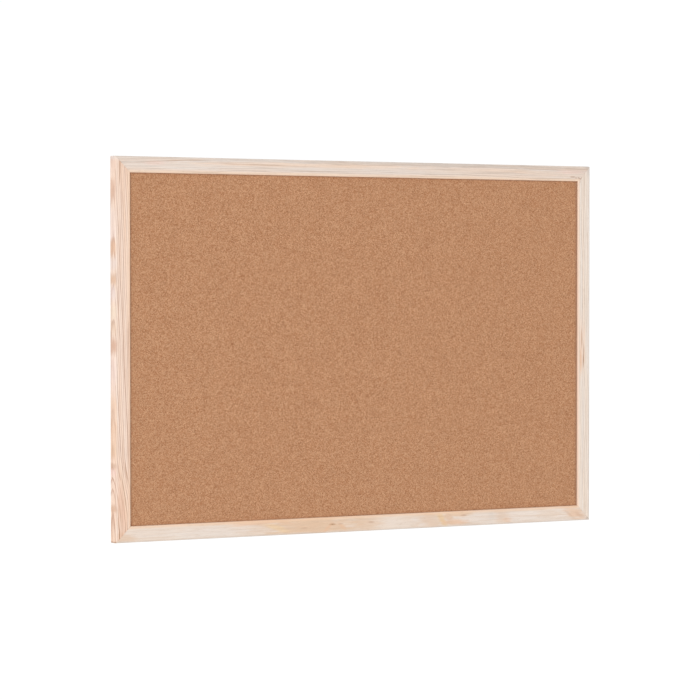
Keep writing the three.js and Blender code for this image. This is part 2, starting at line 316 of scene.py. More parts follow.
floor_mesh = bpy.data.meshes.new("floor")
floor_level = BOTTOM - FLOOR_DROP
half = FLOOR_SIDE / 2
floor_corners = [(-half, -half), (half, -half), (half, half), (-half, half)]
floor_mesh.from_pydata([(x, y, floor_level) for x, y in floor_corners], [], [(0, 1, 2, 3)])
floor = bpy.data.objects.new("floor", floor_mesh)
bpy.context.scene.collection.objects.link(floor)
floor_paint = bpy.data.materials.new("floor_paint")
floor_paint.use_nodes = True
floor_paint.node_tree.nodes.clear()
pen = Pen(floor_paint.node_tree)
matt = pen.add("BsdfDiffuse", {"Color": paint(245, 245, 245)})
glow = pen.add("Emission", {"Color": paint(255, 255, 255), "Strength": FLOOR_WHITE})
share = pen.times(looked_at(pen), FLOOR_GLOW)
both = pen.add("MixShader", {0: share, 1: matt.outputs[0], 2: glow.outputs[0]})
clear = pen.add("BsdfTransparent", {})
underneath = pen.add("NewGeometry", {}).outputs["Backfacing"]
one_sided = pen.add("MixShader", {0: underneath, 1: both.outputs[0], 2: clear.outputs[0]})
pen.add("OutputMaterial", {"Surface": one_sided.outputs[0]})
floor_mesh.materials.append(floor_paint)
floor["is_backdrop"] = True
print("floor at", round(floor_level, 3))

# %% [markdown]
# ## Groups that several finishes share
#
# Edge wear, dust and the like are wanted by more than one material, so each is a node group with
# named inputs and outputs. It is drawn once and placed in each material with its own values. The
# groups only work out colours and masks, and the shader itself stays in the material.

# %% Empty group
FLOAT = "NodeSocketFloat"
VECTOR = "NodeSocketVector"
COLOUR = "NodeSocketColor"


def new_group(name, inputs, outputs):
    """A group with named sockets: returns a pen for it, what comes in and what goes out."""
    tree = bpy.data.node_groups.new(name, "ShaderNodeTree")
    for label, kind, value in inputs:
        tree.interface.new_socket(name=label, in_out="INPUT", socket_type=kind).default_value = value
    for label, kind in outputs:
        tree.interface.new_socket(name=label, in_out="OUTPUT", socket_type=kind)
    pen = Pen(tree)
    incoming = tree.nodes.new("NodeGroupInput").outputs
    outgoing = tree.nodes.new("NodeGroupOutput").inputs
    return pen, incoming, outgoing


WHITE = (1, 1, 1, 1)
NOWHERE = (0, 0, 0)
print("group maker ready")

# %% [markdown]
# ### Edge wear
#
# Handling rubs the corners of a piece first: wood gets lighter and smoother there, and plating
# shows brighter metal. A shader can guess corners from the mesh, but a mark that the modelling
# puts on each vertex, called arris here, is surer. Cloudy noise breaks the wear up, because no
# edge wears evenly.

# %% Edge wear group
pen, given, made = new_group(
    "edge wear",
    [("Colour", COLOUR, WHITE), ("Worn Colour", COLOUR, WHITE), ("Arris", FLOAT, 0),
     ("Place", VECTOR, NOWHERE), ("Amount", FLOAT, 0.5)],
    [("Colour", COLOUR), ("Mask", FLOAT)],
)
patches = pen.noise(given["Place"], (0.11, 0.6, 0.6), detail=4)
bare = pen.ramp(patches, 0.35, 0.65, 0.15, 1)
mask = pen.times(given["Arris"], bare, given["Amount"])
pen.give(made["Colour"], pen.mix(mask, given["Colour"], given["Worn Colour"]))
pen.give(made["Mask"], mask)
edge_wear = pen.drawn()

# %% [markdown]
# ### Dust
#
# Dust settles only on what faces up, such as the top of the frame and the lower lip. The normal's
# Z, which is 1 on a level surface, gives that without any painting.

# %% Dust group
pen, given, made = new_group(
    "dust",
    [("Colour", COLOUR, WHITE), ("Dust Colour", COLOUR, WHITE), ("Place", VECTOR, NOWHERE),
     ("Amount", FLOAT, 0.2)],
    [("Colour", COLOUR), ("Mask", FLOAT)],
)
upward = pen.split(pen.add("NewGeometry", {}).outputs["Normal"])["Z"]
lying = pen.ramp(upward, 0.2, 0.9)
clumps = pen.ramp(pen.noise(given["Place"], (0.25, 0.25, 0.25), detail=5), 0.3, 0.7, 0.5, 1)
mask = pen.times(lying, clumps, given["Amount"])
pen.give(made["Colour"], pen.mix(mask, given["Colour"], given["Dust Colour"]))
pen.give(made["Mask"], mask)
dust = pen.drawn()

# %% [markdown]
# ## Pine
#
# A moulding is sawn from a trunk, so its grain isn't painted on: it is a cut through growth rings,
# which are thin cylinders round the pith. If the finish works in three dimensions, the face, the
# side and the back of a moulding agree at every edge, as they do in real wood. Where the pith lies
# decides the figure: far to the side gives close straight lines, behind the face gives wide
# flames, and a lean makes them run out.
#
# Each year's ring starts pale and ends in a narrow dark band with a sharp outer side. White noise
# draws two numbers for each year: how dark that band is, and which way the year's wood is tinted.

# %% Growth ring group
SECOND_DRAW = 0.37

pen, given, made = new_group(
    "growth rings",
    [("Place", VECTOR, NOWHERE), ("Pith", VECTOR, NOWHERE), ("Lean", VECTOR, NOWHERE),
     ("Bow", VECTOR, NOWHERE), ("Ring Width", FLOAT, 2), ("Wander", FLOAT, 1), ("Bend", FLOAT, 0),
     ("Offset", VECTOR, NOWHERE)],
    [("Late Wood", FLOAT), ("Year Tone", FLOAT)],
)
along = pen.split(given["Place"])["X"]
centre = pen.vector("ADD", given["Pith"], pen.scale(given["Lean"], along))
centre = pen.vector("ADD", centre, pen.scale(given["Bow"], pen.times(along, along)))
radial = pen.vector("MULTIPLY", pen.vector("SUBTRACT", given["Place"], centre), (0, 1, 1))
seat = pen.vector("ADD", given["Place"], given["Offset"])
slow = pen.sway(seat, (0.009, 0.045, 0.045), detail=1)
quick = pen.sway(seat, (0.028, 0.25, 0.25))
drift = pen.plus(pen.times(slow, 4), quick, 1.5)
radius = pen.plus(pen.vector("LENGTH", radial), drift, given["Wander"])
years = pen.math("DIVIDE", pen.math("ADD", radius, given["Bend"]), given["Ring Width"])
season = pen.math("FRACT", years)
year = pen.math("FLOOR", years)
darkening = pen.ramp(season, 0.5, 0.85)
ending = pen.ramp(season, 0.9, 1.0, 1, 0)
luck = pen.add("TexWhiteNoise", {"W": year}, noise_dimensions="1D").outputs["Value"]
second_draw = pen.math("ADD", year, SECOND_DRAW)
fate = pen.add("TexWhiteNoise", {"W": second_draw}, noise_dimensions="1D").outputs["Value"]
band = pen.times(darkening, ending)
pen.give(made["Late Wood"], pen.times(band, pen.ramp(luck, 0, 1, 0.4, 1)))
pen.give(made["Year Tone"], fate)
growth_rings = pen.drawn()

# %% [markdown]
# Between the rings lie the fibres, which run along the trunk in bundles of every width, down to
# hairs that only show close up, with fine dark ducts that hold resin. All are noise stretched many
# times longer than wide.

# %% Wood fibre group
pen, given, made = new_group(
    "wood fibres",
    [("Place", VECTOR, NOWHERE), ("Offset", VECTOR, NOWHERE)],
    [("Streaks", FLOAT), ("Lines", FLOAT), ("Fibres", FLOAT), ("Hairs", FLOAT), ("Ducts", FLOAT)],
)
seat = pen.vector("ADD", given["Place"], given["Offset"])
pen.give(made["Streaks"], pen.noise(seat, (0.011, 0.35, 0.35), detail=3))
pen.give(made["Lines"], pen.noise(seat, (0.014, 0.8, 0.8), detail=3))
pen.give(made["Fibres"], pen.noise(seat, (0.07, 3.5, 3.5), detail=3))
pen.give(made["Hairs"], pen.noise(seat, (0.35, 12, 12)))
pen.give(made["Ducts"], pen.ramp(pen.noise(seat, (0.16, 3.6, 3.6), detail=1), 0.66, 0.74))
wood_fibres = pen.drawn()

# %% [markdown]
# Planed pine also has warm, grey and whitish areas, where heartwood begins, resin has gathered or
# the fibres tilt and take the light otherwise. Each is a soft oval with feathered ends, placed
# where the photograph shows one. A long flat oval makes a band, and a short slanting one a patch.
# The same ovals also paint shade: a long grey band along the outer edge of the right stile and of
# both rails stands in for the shade on the outer rounding.

# %% Stain and painted shade group
FAR_THROUGH = 1e6

pen, given, made = new_group(
    "stain",
    [("Place", VECTOR, NOWHERE), ("Middle", VECTOR, NOWHERE), ("Size", VECTOR, (20, 5, FAR_THROUGH)),
     ("Turn", FLOAT, 0), ("Feather", FLOAT, 1.8), ("Offset", VECTOR, NOWHERE)],
    [("Mask", FLOAT)],
)
turned = pen.add("VectorRotate", {
    "Vector": pen.vector("SUBTRACT", given["Place"], given["Middle"]),
    "Angle": pen.times(given["Turn"], -1.0),
}, rotation_type="Z_AXIS").outputs["Vector"]
shares = pen.vector("DIVIDE", turned, given["Size"])
seat = pen.vector("ADD", given["Place"], given["Offset"])
cloud = pen.sway(seat, (0.05, 0.4, 0.4), detail=4)
edge = pen.plus(pen.vector("LENGTH", shares), cloud, given["Feather"])
pen.give(made["Mask"], pen.ramp(edge, 0.3, 1.3, 1, 0))
stain = pen.drawn()

# %% [markdown]
# A knot is the foot of a branch. It has a dark heart, the rings bend round it, and the wood beside
# it is stained.

# %% Knot group
pen, given, made = new_group(
    "knot",
    [("Place", VECTOR, NOWHERE), ("Centre", VECTOR, NOWHERE), ("Radius", FLOAT, 1)],
    [("Heart", FLOAT), ("Halo", FLOAT), ("Bend", FLOAT)],
)
apart = pen.vector("MULTIPLY", pen.vector("SUBTRACT", given["Place"], given["Centre"]), (0.4, 1, 0))
wobble = pen.sway(given["Place"], (0.5, 0.9, 0.9), detail=3)
reach = pen.math("ADD", pen.vector("LENGTH", apart), wobble)
share = pen.math("DIVIDE", reach, given["Radius"])
halo = pen.ramp(share, 0.8, 4.5, 1, 0)
pen.give(made["Heart"], pen.ramp(share, 0.6, 1.2, 1, 0))
pen.give(made["Halo"], halo)
pen.give(made["Bend"], pen.times(halo, pen.times(given["Radius"], 1.5)))
knot = pen.drawn()

# %% [markdown]
# ### One finish for each moulding
#
# The four mouldings were cut from different boards, and the photograph shows it: close pinkish
# lines on the left, grey streaks on top, creamy wood with warm patches and a knot below, and calm
# cream wood on the right. So each has its own material, made of the same groups with other values.
# A Mapping node turns the board's coordinates into the moulding's own, in millimetres: along it,
# inward from its outer edge, and out from the wall.

# %% Where each moulding lies
FORWARD = Vector((0, -1, 0))


class Side:
    """One side of the frame: the middle of its outer back edge, and the way along and inward."""

    def __init__(self, name, corner, along, inward, length):
        self.name = name
        self.corner = Vector(corner)
        self.along = Vector(along)
        self.inward = Vector(inward)
        self.length = length

    def point(self, along, inward, height):
        return self.corner + self.along * along + self.inward * inward + FORWARD * height

    def mapping(self):
        """Location, rotation and scale for a Mapping node that gives millimetres along the side."""
        third = self.along.cross(self.inward)
        turn = Matrix((self.along, self.inward, third))
        scale = Vector((1, -third.y, 1)) / MM
        moved = Vector((a * b for a, b in zip(self.corner, scale)))
        return -(turn @ moved), turn.to_euler(), scale


SIDES = {
    side.name: side
    for side in (
        Side("rail_top", (MIDDLE.x, BACK, TOP), (1, 0, 0), (0, 0, -1), RIGHT - LEFT),
        Side("rail_bottom", (MIDDLE.x, BACK, BOTTOM), (1, 0, 0), (0, 0, 1), RIGHT - LEFT),
        Side("stile_left", (LEFT, BACK, MIDDLE.z), (0, 0, 1), (1, 0, 0), TOP - BOTTOM),
        Side("stile_right", (RIGHT, BACK, MIDDLE.z), (0, 0, 1), (-1, 0, 0), TOP - BOTTOM),
    )
}
print("sides:", {side.name: round(side.length, 3) for side in SIDES.values()})

# %% Start of every finish
DUST = paint(206, 203, 198)


def new_finish(name, roughness, metallic=0.0):
    """A material with one Principled shader: returns it, a pen and the shader's sockets."""
    material = bpy.data.materials.new(name)
    material.use_nodes = True
    material.node_tree.nodes.clear()
    pen = Pen(material.node_tree)
    shader = pen.add("BsdfPrincipled", {"Roughness": roughness, "Metallic": metallic})
    pen.add("OutputMaterial", {"Surface": shader.outputs["BSDF"]})
    return material, pen, shader.inputs


def in_millimetres(pen):
    """Where a point of the surface lies on the board."""
    return pen.scale(pen.add("TexCoord", {}).outputs["Object"], 1 / MM)


def worn_at_edges(pen, colour, bare, place, amount):
    """What the edge wear group gives for the arris marks that the modelling leaves on vertices."""
    arris = pen.add("Attribute", {}, attribute_name="arris").outputs["Fac"]
    given = {"Colour": colour, "Worn Colour": bare, "Arris": arris, "Place": place, "Amount": amount}
    return pen.group(edge_wear, given)


def dusted(pen, colour, place, amount):
    return pen.group(dust, {"Colour": colour, "Dust Colour": DUST, "Place": place, "Amount": amount})


def give_relief(pen, shader, height, strength, distance):
    """Feeds a Bump node to the shader; distance is the relief's height in metres."""
    bump = pen.add("Bump", {"Height": height, "Strength": strength, "Distance": distance})
    pen.give(shader["Normal"], bump.outputs["Normal"])


print("finishes start from one Principled shader")

# %% Stains and painted shade on a moulding
Stain = namedtuple("Stain", "along inward long wide turn colour strength")


def stained_and_shaded(pen, place, colour, stains_and_shades):
    """The colour under a row of stains and painted shade bands; each takes its feathering from another
    part of the noise.
    """
    for index, spot in enumerate(stains_and_shades):
        given = {"Place": place, "Middle": (spot.along, spot.inward, 0),
                 "Size": (spot.long, spot.wide, FAR_THROUGH), "Turn": math.radians(spot.turn),
                 "Offset": (37 * index, 11 * index, 5)}
        mask = pen.group(stain, given)["Mask"]
        colour = pen.mix(pen.times(mask, spot.strength), colour, spot.colour)
    return colour


print("a stain has", ", ".join(Stain._fields))

# %% Pine finish
KNOT_HEART = paint(158, 112, 82)
KNOT_STAIN = paint(214, 172, 136)
DUCT = paint(184, 148, 118)
PINE_WORN = paint(246, 228, 210)
PINE_WEAR = 0.25
PINE_DUST = 0.2
EARLY_ROUGHNESS = 0.62
LATE_ROUGHNESS = 0.5
WORN_SMOOTHER = 0.12
DUST_ROUGHER = 0.3
PINE_RELIEF = 0.04 * MM

PINE = {}


def pine_finish(name, pale, dark, contrast, tints, tint, pith, ring_width, wander, offset, lip_highlight,
                lip_highlight_colour, lines, stains_and_shades, lean=NOWHERE, bow=NOWHERE, knot_at=None, swell=None):
    """Planed pine for one side of the frame. Places and widths are in its own millimetres."""
    material, pen, shader = new_finish("pine_" + name, roughness=0.6)
    location, rotation, scale = SIDES[name].mapping()
    board = pen.add("TexCoord", {}).outputs["Object"]
    given = {"Vector": board, "Location": location, "Rotation": rotation, "Scale": scale}
    place = pen.add("Mapping", given).outputs["Vector"]
    axes = pen.split(place)
    bend = 0.0
    if knot_at:
        centre, radius = knot_at
        branch = pen.group(knot, {"Place": place, "Centre": centre, "Radius": radius})
        bend = branch["Bend"]
    if swell:
        begin, end, amount = swell
        bend = pen.math("ADD", pen.ramp(axes["X"], begin, end, 0, amount), bend)
    given = {"Place": place, "Pith": pith, "Lean": lean, "Bow": bow, "Ring Width": ring_width,
             "Wander": wander, "Bend": bend, "Offset": offset}
    rings = pen.group(growth_rings, given)
    fibres = pen.group(wood_fibres, {"Place": place, "Offset": offset})
    late = pen.times(rings["Late Wood"], contrast)
    cool, warm = tints
    colour = pen.mix(tint, pale, pen.mix(rings["Year Tone"], cool, warm))
    colour = pen.mix(pen.ramp(fibres["Streaks"], 0.3, 0.7, 0, tint), colour, pen.mix(0.5, pale, cool))
    colour = pen.mix(late, colour, dark)
    colour = stained_and_shaded(pen, place, colour, stains_and_shades)
    # painted highlight: the inner lip beside the cork is mixed towards a warm pale colour, standing in
    # for light bounced from the cork onto the inner rounding
    highlight_start, highlight_end, highlight_share = lip_highlight
    colour = pen.mix(pen.ramp(axes["Y"], highlight_start, highlight_end, 0, highlight_share), colour, lip_highlight_colour)
    colour = pen.mix(pen.ramp(fibres["Lines"], 0.5, 0.68, 0, lines), colour, dark)
    colour = pen.scale(colour, pen.ramp(fibres["Fibres"], 0.25, 0.75, 0.93, 1.045))
    colour = pen.scale(colour, pen.ramp(fibres["Hairs"], 0.3, 0.7, 0.95, 1.04))
    colour = pen.mix(pen.times(fibres["Ducts"], 0.35), colour, DUCT)
    if knot_at:
        colour = pen.mix(pen.times(branch["Halo"], 0.4), colour, KNOT_STAIN)
        colour = pen.mix(pen.times(branch["Heart"], 0.85), colour, KNOT_HEART)
    worn = worn_at_edges(pen, colour, PINE_WORN, place, PINE_WEAR)
    dusty = dusted(pen, worn["Colour"], place, PINE_DUST)
    pen.give(shader["Base Color"], dusty["Colour"])
    sheen = pen.ramp(late, 0, 1, EARLY_ROUGHNESS, LATE_ROUGHNESS)
    roughness = pen.math("SUBTRACT", sheen, pen.times(worn["Mask"], WORN_SMOOTHER))
    pen.give(shader["Roughness"], pen.plus(roughness, dusty["Mask"], DUST_ROUGHER))
    relief = pen.plus(fibres["Fibres"], fibres["Hairs"], 0.4)
    relief = pen.plus(relief, rings["Late Wood"], 0.6)
    relief = pen.math("SUBTRACT", relief, pen.times(fibres["Ducts"], 0.5))
    give_relief(pen, shader, relief, 0.5, PINE_RELIEF)
    PINE[name] = material
    print(material.name + ":", len(material.node_tree.nodes), "nodes")


print("pine finish ready")

# %% [markdown]
# Left stile: close pinkish lines that lean inward on their way down. On the side face the same rings
# are cut almost along their own surface, which gives pale and dark areas and loops, and near the
# foot the trunk swelled. Thin stains draw the dark lines that the rings alone don't give.

# %% Left stile
TAN = paint(228, 190, 156)
ORANGE = paint(238, 192, 156)
BROWN = paint(200, 158, 128)
MARK = paint(168, 120, 86)
WHITISH = paint(241, 232, 225)
GREY = paint(210, 200, 192)

pine_finish(
    "stile_left", pale=paint(255, 231, 211), dark=paint(180, 133, 108), contrast=0.92,
    tints=(paint(251, 228, 214), paint(252, 214, 186)), tint=0.65,
    pith=(0, -27, 6), lean=(0, -0.048, 0), ring_width=2.15, wander=0.8,
    offset=(70, 3, 90), lip_highlight=(12.7, 16, 0.6), lip_highlight_colour=paint(255, 220, 190), lines=0.42,
    swell=(-165, -105, 6),
    stains_and_shades=[
        Stain(-25, -1, 24, 3.2, 0, paint(250, 225, 213), 0.8), Stain(-84, -1, 40, 3.6, 0, ORANGE, 0.55),
        Stain(-66, -1, 12, 3, 0, paint(247, 214, 190), 0.7), Stain(-104, -1, 9, 3, 0, TAN, 0.4),
        Stain(-127, -1, 5, 2.6, 0, paint(254, 219, 210), 0.75), Stain(-164, -1, 6, 3, -30, BROWN, 0.7),
        Stain(-120, -1, 3.6, 2.6, -20, BROWN, 0.6), Stain(23, -1, 10, 3, 0, paint(243, 213, 188), 0.75),
        Stain(38, -1, 8, 3, 0, paint(250, 228, 205), 0.8),
        Stain(57, -1, 10, 3, 0, paint(248, 228, 220), 0.75),
        Stain(4, -1, 10, 3.2, 0, paint(208, 156, 124), 0.7), Stain(73, -1, 6.5, 3, 0, BROWN, 0.5),
        Stain(72, -2, 5, 3, 0, ORANGE, 0.5), Stain(88, -1, 8, 3, 0, paint(242, 224, 216), 0.7),
        Stain(120, -1, 9, 3, 0, paint(250, 226, 214), 0.85),
        Stain(105, -1, 9, 3.2, 0, paint(232, 190, 160), 0.9),
        Stain(135, -1, 14, 3, 0, paint(246, 223, 212), 0.6),
        Stain(166, -1, 13, 3.2, 0, paint(218, 174, 148), 0.7),
        Stain(192, -1, 12, 3.2, 0, paint(243, 213, 195), 0.9),
        Stain(175, 8, 26, 11, 0, paint(244, 206, 180), 0.3),
        Stain(-168, 7, 36, 12, 0, paint(244, 200, 170), 0.45), Stain(-195, 6, 7, 8, 0, ORANGE, 0.4),
        Stain(0, 1.7, 420, 0.9, 0, paint(234, 220, 210), 0.3),
        Stain(-140, 8, 34, 3, -9, paint(255, 226, 202), 0.65),
        Stain(40, 15, 90, 3, 0, paint(255, 222, 196), 0.3),
        Stain(-60, 8.5, 60, 2.6, -3, paint(255, 230, 212), 0.45),
        Stain(-192, 4.2, 10, 0.6, 0, MARK, 0.8), Stain(-188, 10.6, 8, 0.5, 4, MARK, 0.5),
        Stain(185, 5.2, 14, 0.8, 0, BROWN, 0.7), Stain(-194, 6.8, 7, 0.5, 2, MARK, 0.5),
        Stain(-168, 9.4, 14, 0.5, -6, BROWN, 0.7), Stain(-160, 3.6, 14, 0.5, -8, BROWN, 0.6),
        Stain(-176, 7.4, 12, 0.5, -3, MARK, 0.5), Stain(-172, 5.2, 12, 0.5, -4, BROWN, 0.7),
        Stain(-178, 2.6, 10, 0.5, -2, BROWN, 0.7), Stain(-161, 11.6, 13, 0.6, -9, BROWN, 0.8),
        Stain(-150, 6, 13, 0.6, -10, BROWN, 0.55), Stain(-142, 8.6, 13, 0.6, -11, MARK, 0.6),
        Stain(-128, 12, 12, 0.6, -9, BROWN, 0.8), Stain(-127, 3.4, 9, 0.6, -14, MARK, 0.6),
        Stain(-150, 5, 40, 5, -8, paint(246, 200, 174), 0.3),
        Stain(199, 3, 3.5, 7, 0, paint(238, 229, 223), 0.6), Stain(-200, 0.6, 2, 2.4, 0, MARK, 0.85)])

# %% [markdown]
# Right stile: calm cream wood with fine grey lines, whiter towards the outer edge, and one resin
# streak at half height, which has coloured the wood round it. A thin grey band right on the outer
# edge is painted shade on the outer rounding.

# %% Right stile
pine_finish(
    "stile_right", pale=paint(250, 235, 221), dark=paint(206, 182, 164), contrast=0.85,
    tints=(paint(241, 232, 224), paint(252, 227, 203)), tint=0.6,
    pith=(0, 90, -30), lean=(0, 0.012, 0), ring_width=2.1, wander=1.6,
    offset=(5, 77, 140), lip_highlight=(13.6, 16.6, 0.9), lip_highlight_colour=paint(255, 226, 203), lines=0.35,
    stains_and_shades=[
        Stain(-2, 2, 34, 5, 0, WHITISH, 0.45), Stain(-2, 12, 36, 4.2, 0, paint(252, 222, 200), 0.75),
        Stain(-18, 9.4, 13, 0.8, -1, MARK, 0.95), Stain(-8, 9.4, 14, 0.5, 3, BROWN, 0.5),
        Stain(-19, 13, 14, 1.7, 1, ORANGE, 0.75), Stain(5, 12, 14, 0.8, 0, BROWN, 0.7),
        # the long grey band at inward 0, 400 long, is painted shade on the outer rounding, which faces
        # away from the light
        Stain(-100, 9, 70, 4, 0, WHITISH, 0.2), Stain(0, 0, 400, 1.8, 0, paint(204, 195, 188), 0.6),
        Stain(187, 13.4, 3, 1.4, -30, MARK, 0.75), Stain(183, 14.6, 2, 0.8, 0, MARK, 0.5),
        Stain(197, 2, 9, 4, 0, paint(208, 198, 191), 0.5)])

# %% [markdown]
# Top rail: fine streaks in long bands, warm, cool and warm again inward, and grey at the outer edge,
# partly the wood's own grey and partly painted shade on the outer rounding. They arch a little,
# because the trunk did.

# %% Top rail
pine_finish(
    "rail_top", pale=paint(244, 226, 212), dark=paint(196, 172, 154), contrast=0.55,
    tints=(paint(229, 220, 213), paint(251, 220, 195)), tint=0.75,
    pith=(0, 70, -30), bow=(0, 0.00007, 0), ring_width=1.9, wander=1.2,
    offset=(11, 40, 7), lip_highlight=(12.7, 16, 0.65), lip_highlight_colour=paint(254, 220, 189), lines=0.45,
    stains_and_shades=[
        # the first band, grey at the outer edge, is partly the wood's grey and partly painted shade on
        # the outer rounding
        Stain(0, 0, 420, 4.2, 0, GREY, 0.4), Stain(130, 2.5, 190, 2.4, 0, paint(204, 186, 172), 0.45),
        Stain(-70, 6.2, 150, 2.4, 0, paint(248, 219, 195), 0.5), Stain(200, 10, 130, 4, 0, TAN, 0.15),
        Stain(-237, 4.2, 40, 0.8, -3, BROWN, 0.5), Stain(-140, 6.4, 60, 0.8, 0.6, BROWN, 0.35),
        Stain(0, 10.5, 420, 2.2, 0, paint(229, 221, 214), 0.25), Stain(-30, 1.5, 12, 1, 0, MARK, 0.35),
        Stain(-240, 9, 60, 5, 0, WHITISH, 0.25),
        Stain(282, 3.4, 24, 2.2, 0, paint(210, 188, 172), 0.55), Stain(-30, 4, 30, 5, 0, TAN, 0.15),
        Stain(-255, 6.5, 14, 2.4, 0, paint(248, 214, 200), 0.5),
        Stain(272, 6.6, 26, 2, 0, paint(250, 217, 203), 0.6),
        Stain(297, 1, 5, 3, 0, paint(190, 178, 172), 0.5), Stain(275, 12.4, 3, 0.6, 0, MARK, 0.6),
        Stain(280, 13.2, 2, 0.6, 0, MARK, 0.6), Stain(284, 13.4, 2.5, 1, 20, MARK, 0.7)])

# %% [markdown]
# Bottom rail: whitish wood with broad tan patches, a pin knot and a few short bark marks. A thin
# grey band along the outer edge is painted shade on the outer rounding.

# %% Bottom rail
PATCHY_WHITE = paint(245, 231, 219)
pine_finish(
    "rail_bottom", pale=paint(240, 223, 209), dark=paint(220, 190, 164), contrast=0.4,
    tints=(paint(239, 226, 216), paint(244, 219, 195)), tint=0.5,
    pith=(0, 10, -60), lean=(0, 0.01, -0.02), ring_width=5, wander=4,
    offset=(400, 9, 31), lip_highlight=(12.9, 16, 0.6), lip_highlight_colour=paint(252, 211, 175), lines=0.3,
    knot_at=((-40, 9.3, 0), 0.5),
    stains_and_shades=[
        Stain(-66, 9, 66, 18, 0, paint(231, 194, 160), 0.8), Stain(-130, 16, 52, 5, 0, ORANGE, 0.65),
        Stain(-108, 8, 14, 3, -15, paint(246, 212, 166), 0.6), Stain(-45, 6, 8, 2.2, 40, ORANGE, 0.6),
        Stain(-27, 6, 8, 2.2, -40, ORANGE, 0.5), Stain(0, 8, 24, 9, 0, paint(231, 196, 164), 0.6),
        Stain(-39, 9.3, 5, 1, 0, MARK, 0.65), Stain(-30, 9.3, 4, 0.8, 0, BROWN, 0.6),
        Stain(8.5, 9.6, 4.5, 0.9, 0, BROWN, 0.6), Stain(-75, 6.5, 5, 0.8, 0, BROWN, 0.4),
        Stain(86, 8, 20, 10, -35, TAN, 0.5), Stain(101, 8.6, 11, 4, -52, paint(239, 197, 139), 0.65),
        Stain(119, 5, 18, 3.6, 0, ORANGE, 0.7), Stain(122, 14, 18, 4, 0, paint(234, 198, 166), 0.7),
        Stain(129, 12, 4, 1.2, 0, BROWN, 0.5), Stain(180, 9, 14, 9, -60, TAN, 0.35),
        Stain(109, 10.6, 9, 5, -50, paint(232, 196, 166), 0.8),
        Stain(-190, 6, 70, 9, 0, PATCHY_WHITE, 0.25),
        Stain(187, 5, 8, 3, 0, ORANGE, 0.45), Stain(166, 10, 5, 8, 0, GREY, 0.2),
        Stain(278, 9, 17, 7.5, -25, paint(238, 200, 169), 0.8), Stain(286, 6, 8, 2.6, -20, BROWN, 0.3),
        Stain(271, 8, 9, 1.6, -35, BROWN, 0.3),
        Stain(297, 2.4, 4.4, 2.4, 25, paint(182, 170, 160), 0.65),
        Stain(46, 7, 26, 9, 0, PATCHY_WHITE, 0.4), Stain(228, 8, 40, 10, 0, PATCHY_WHITE, 0.35),
        Stain(-190, 6, 50, 7, 0, WHITISH, 0.4), Stain(-290, 4, 16, 5, 0, TAN, 0.5),
        # the last band, grey at the outer edge, is painted shade on the outer rounding, which faces
        # down
        Stain(0, 0, 420, 1.8, 0, GREY, 0.55)])

# %% [markdown]
# ## Skins over rings
#
# Mouldings, folded strip, bent wire, nails and screws all have one section that travels along a
# path. The same helper makes them all: rings of points, each with as many points as the next, are
# joined by four sided faces, and a cap closes each end. Every finished piece is noted down with its
# body, its slot and the CAD node it stands for, and the last cells read those notes.

# %% Skin helper
SMOOTH_BELOW = math.radians(38)

PIECES = {}


def stand_in(name, mesh, material, slot, node, body="board"):
    """A piece with this mesh, smooth with crisp corners, noted down with what it stands for."""
    mesh.shade_smooth()
    mesh.set_sharp_from_angle(angle=SMOOTH_BELOW)
    mesh.materials.clear()
    mesh.materials.append(material)
    piece = bpy.data.objects.new(name, mesh)
    bpy.context.scene.collection.objects.link(piece)
    PIECES[piece] = (body, slot, [node])
    print(name + ":", len(mesh.vertices), "vertices")


def outward_mesh(name, shape):
    """The shape as a mesh whose faces all look outward."""
    bmesh.ops.recalc_face_normals(shape, faces=shape.faces)
    mesh = bpy.data.meshes.new(name)
    shape.to_mesh(mesh)
    shape.free()
    return mesh


def skin_mesh(name, rings, mark=0.0, marks=None):
    """Closed mesh over rings of points; each point of a ring has an arris mark, or all the same."""
    shape = bmesh.new()
    layer = shape.verts.layers.float.new("arris")
    rows = []
    for ring in rings:
        rows.append([shape.verts.new(point) for point in ring])
        for vertex, value in zip(rows[-1], marks or [mark] * len(ring)):
            vertex[layer] = value
    for row, following in zip(rows, rows[1:]):
        for index in range(len(row)):
            shape.faces.new((row[index - 1], row[index], following[index], following[index - 1]))
    shape.faces.new(rows[0])
    shape.faces.new(rows[-1])
    return outward_mesh(name, shape)


def cut(mesh, cutters):
    """The mesh with the cutters' volume taken out of it, and the cutters removed."""
    linked = bpy.context.scene.collection.objects
    body = bpy.data.objects.new("body", mesh)
    linked.link(body)
    tools = [bpy.data.objects.new("tool", cutter) for cutter in cutters]
    for tool in tools:
        linked.link(tool)
        modifier = body.modifiers.new("cut", "BOOLEAN")
        modifier.operation = "DIFFERENCE"
        modifier.solver = "EXACT"
        modifier.object = tool
    evaluated = body.evaluated_get(bpy.context.evaluated_depsgraph_get())
    result = bpy.data.meshes.new_from_object(evaluated)
    for helper in (body, *tools):
        bpy.data.objects.remove(helper)
    return result


print("skins ready")

# %% [markdown]
# ### A walk in a plane
#
# Bent strip and wire are easiest to describe as a fitter would bend them: run so far, then turn so
# much on such a radius. The walk turns those moves into places and headings.

# %% Walk helper
class Stop:
    """A place on a walk, the way ahead and how far it is from the start."""

    def __init__(self, place, heading, gone):
        self.place = place
        self.ahead = Vector((math.cos(heading), math.sin(heading)))
        self.left = Vector((-self.ahead.y, self.ahead.x))
        self.gone = gone


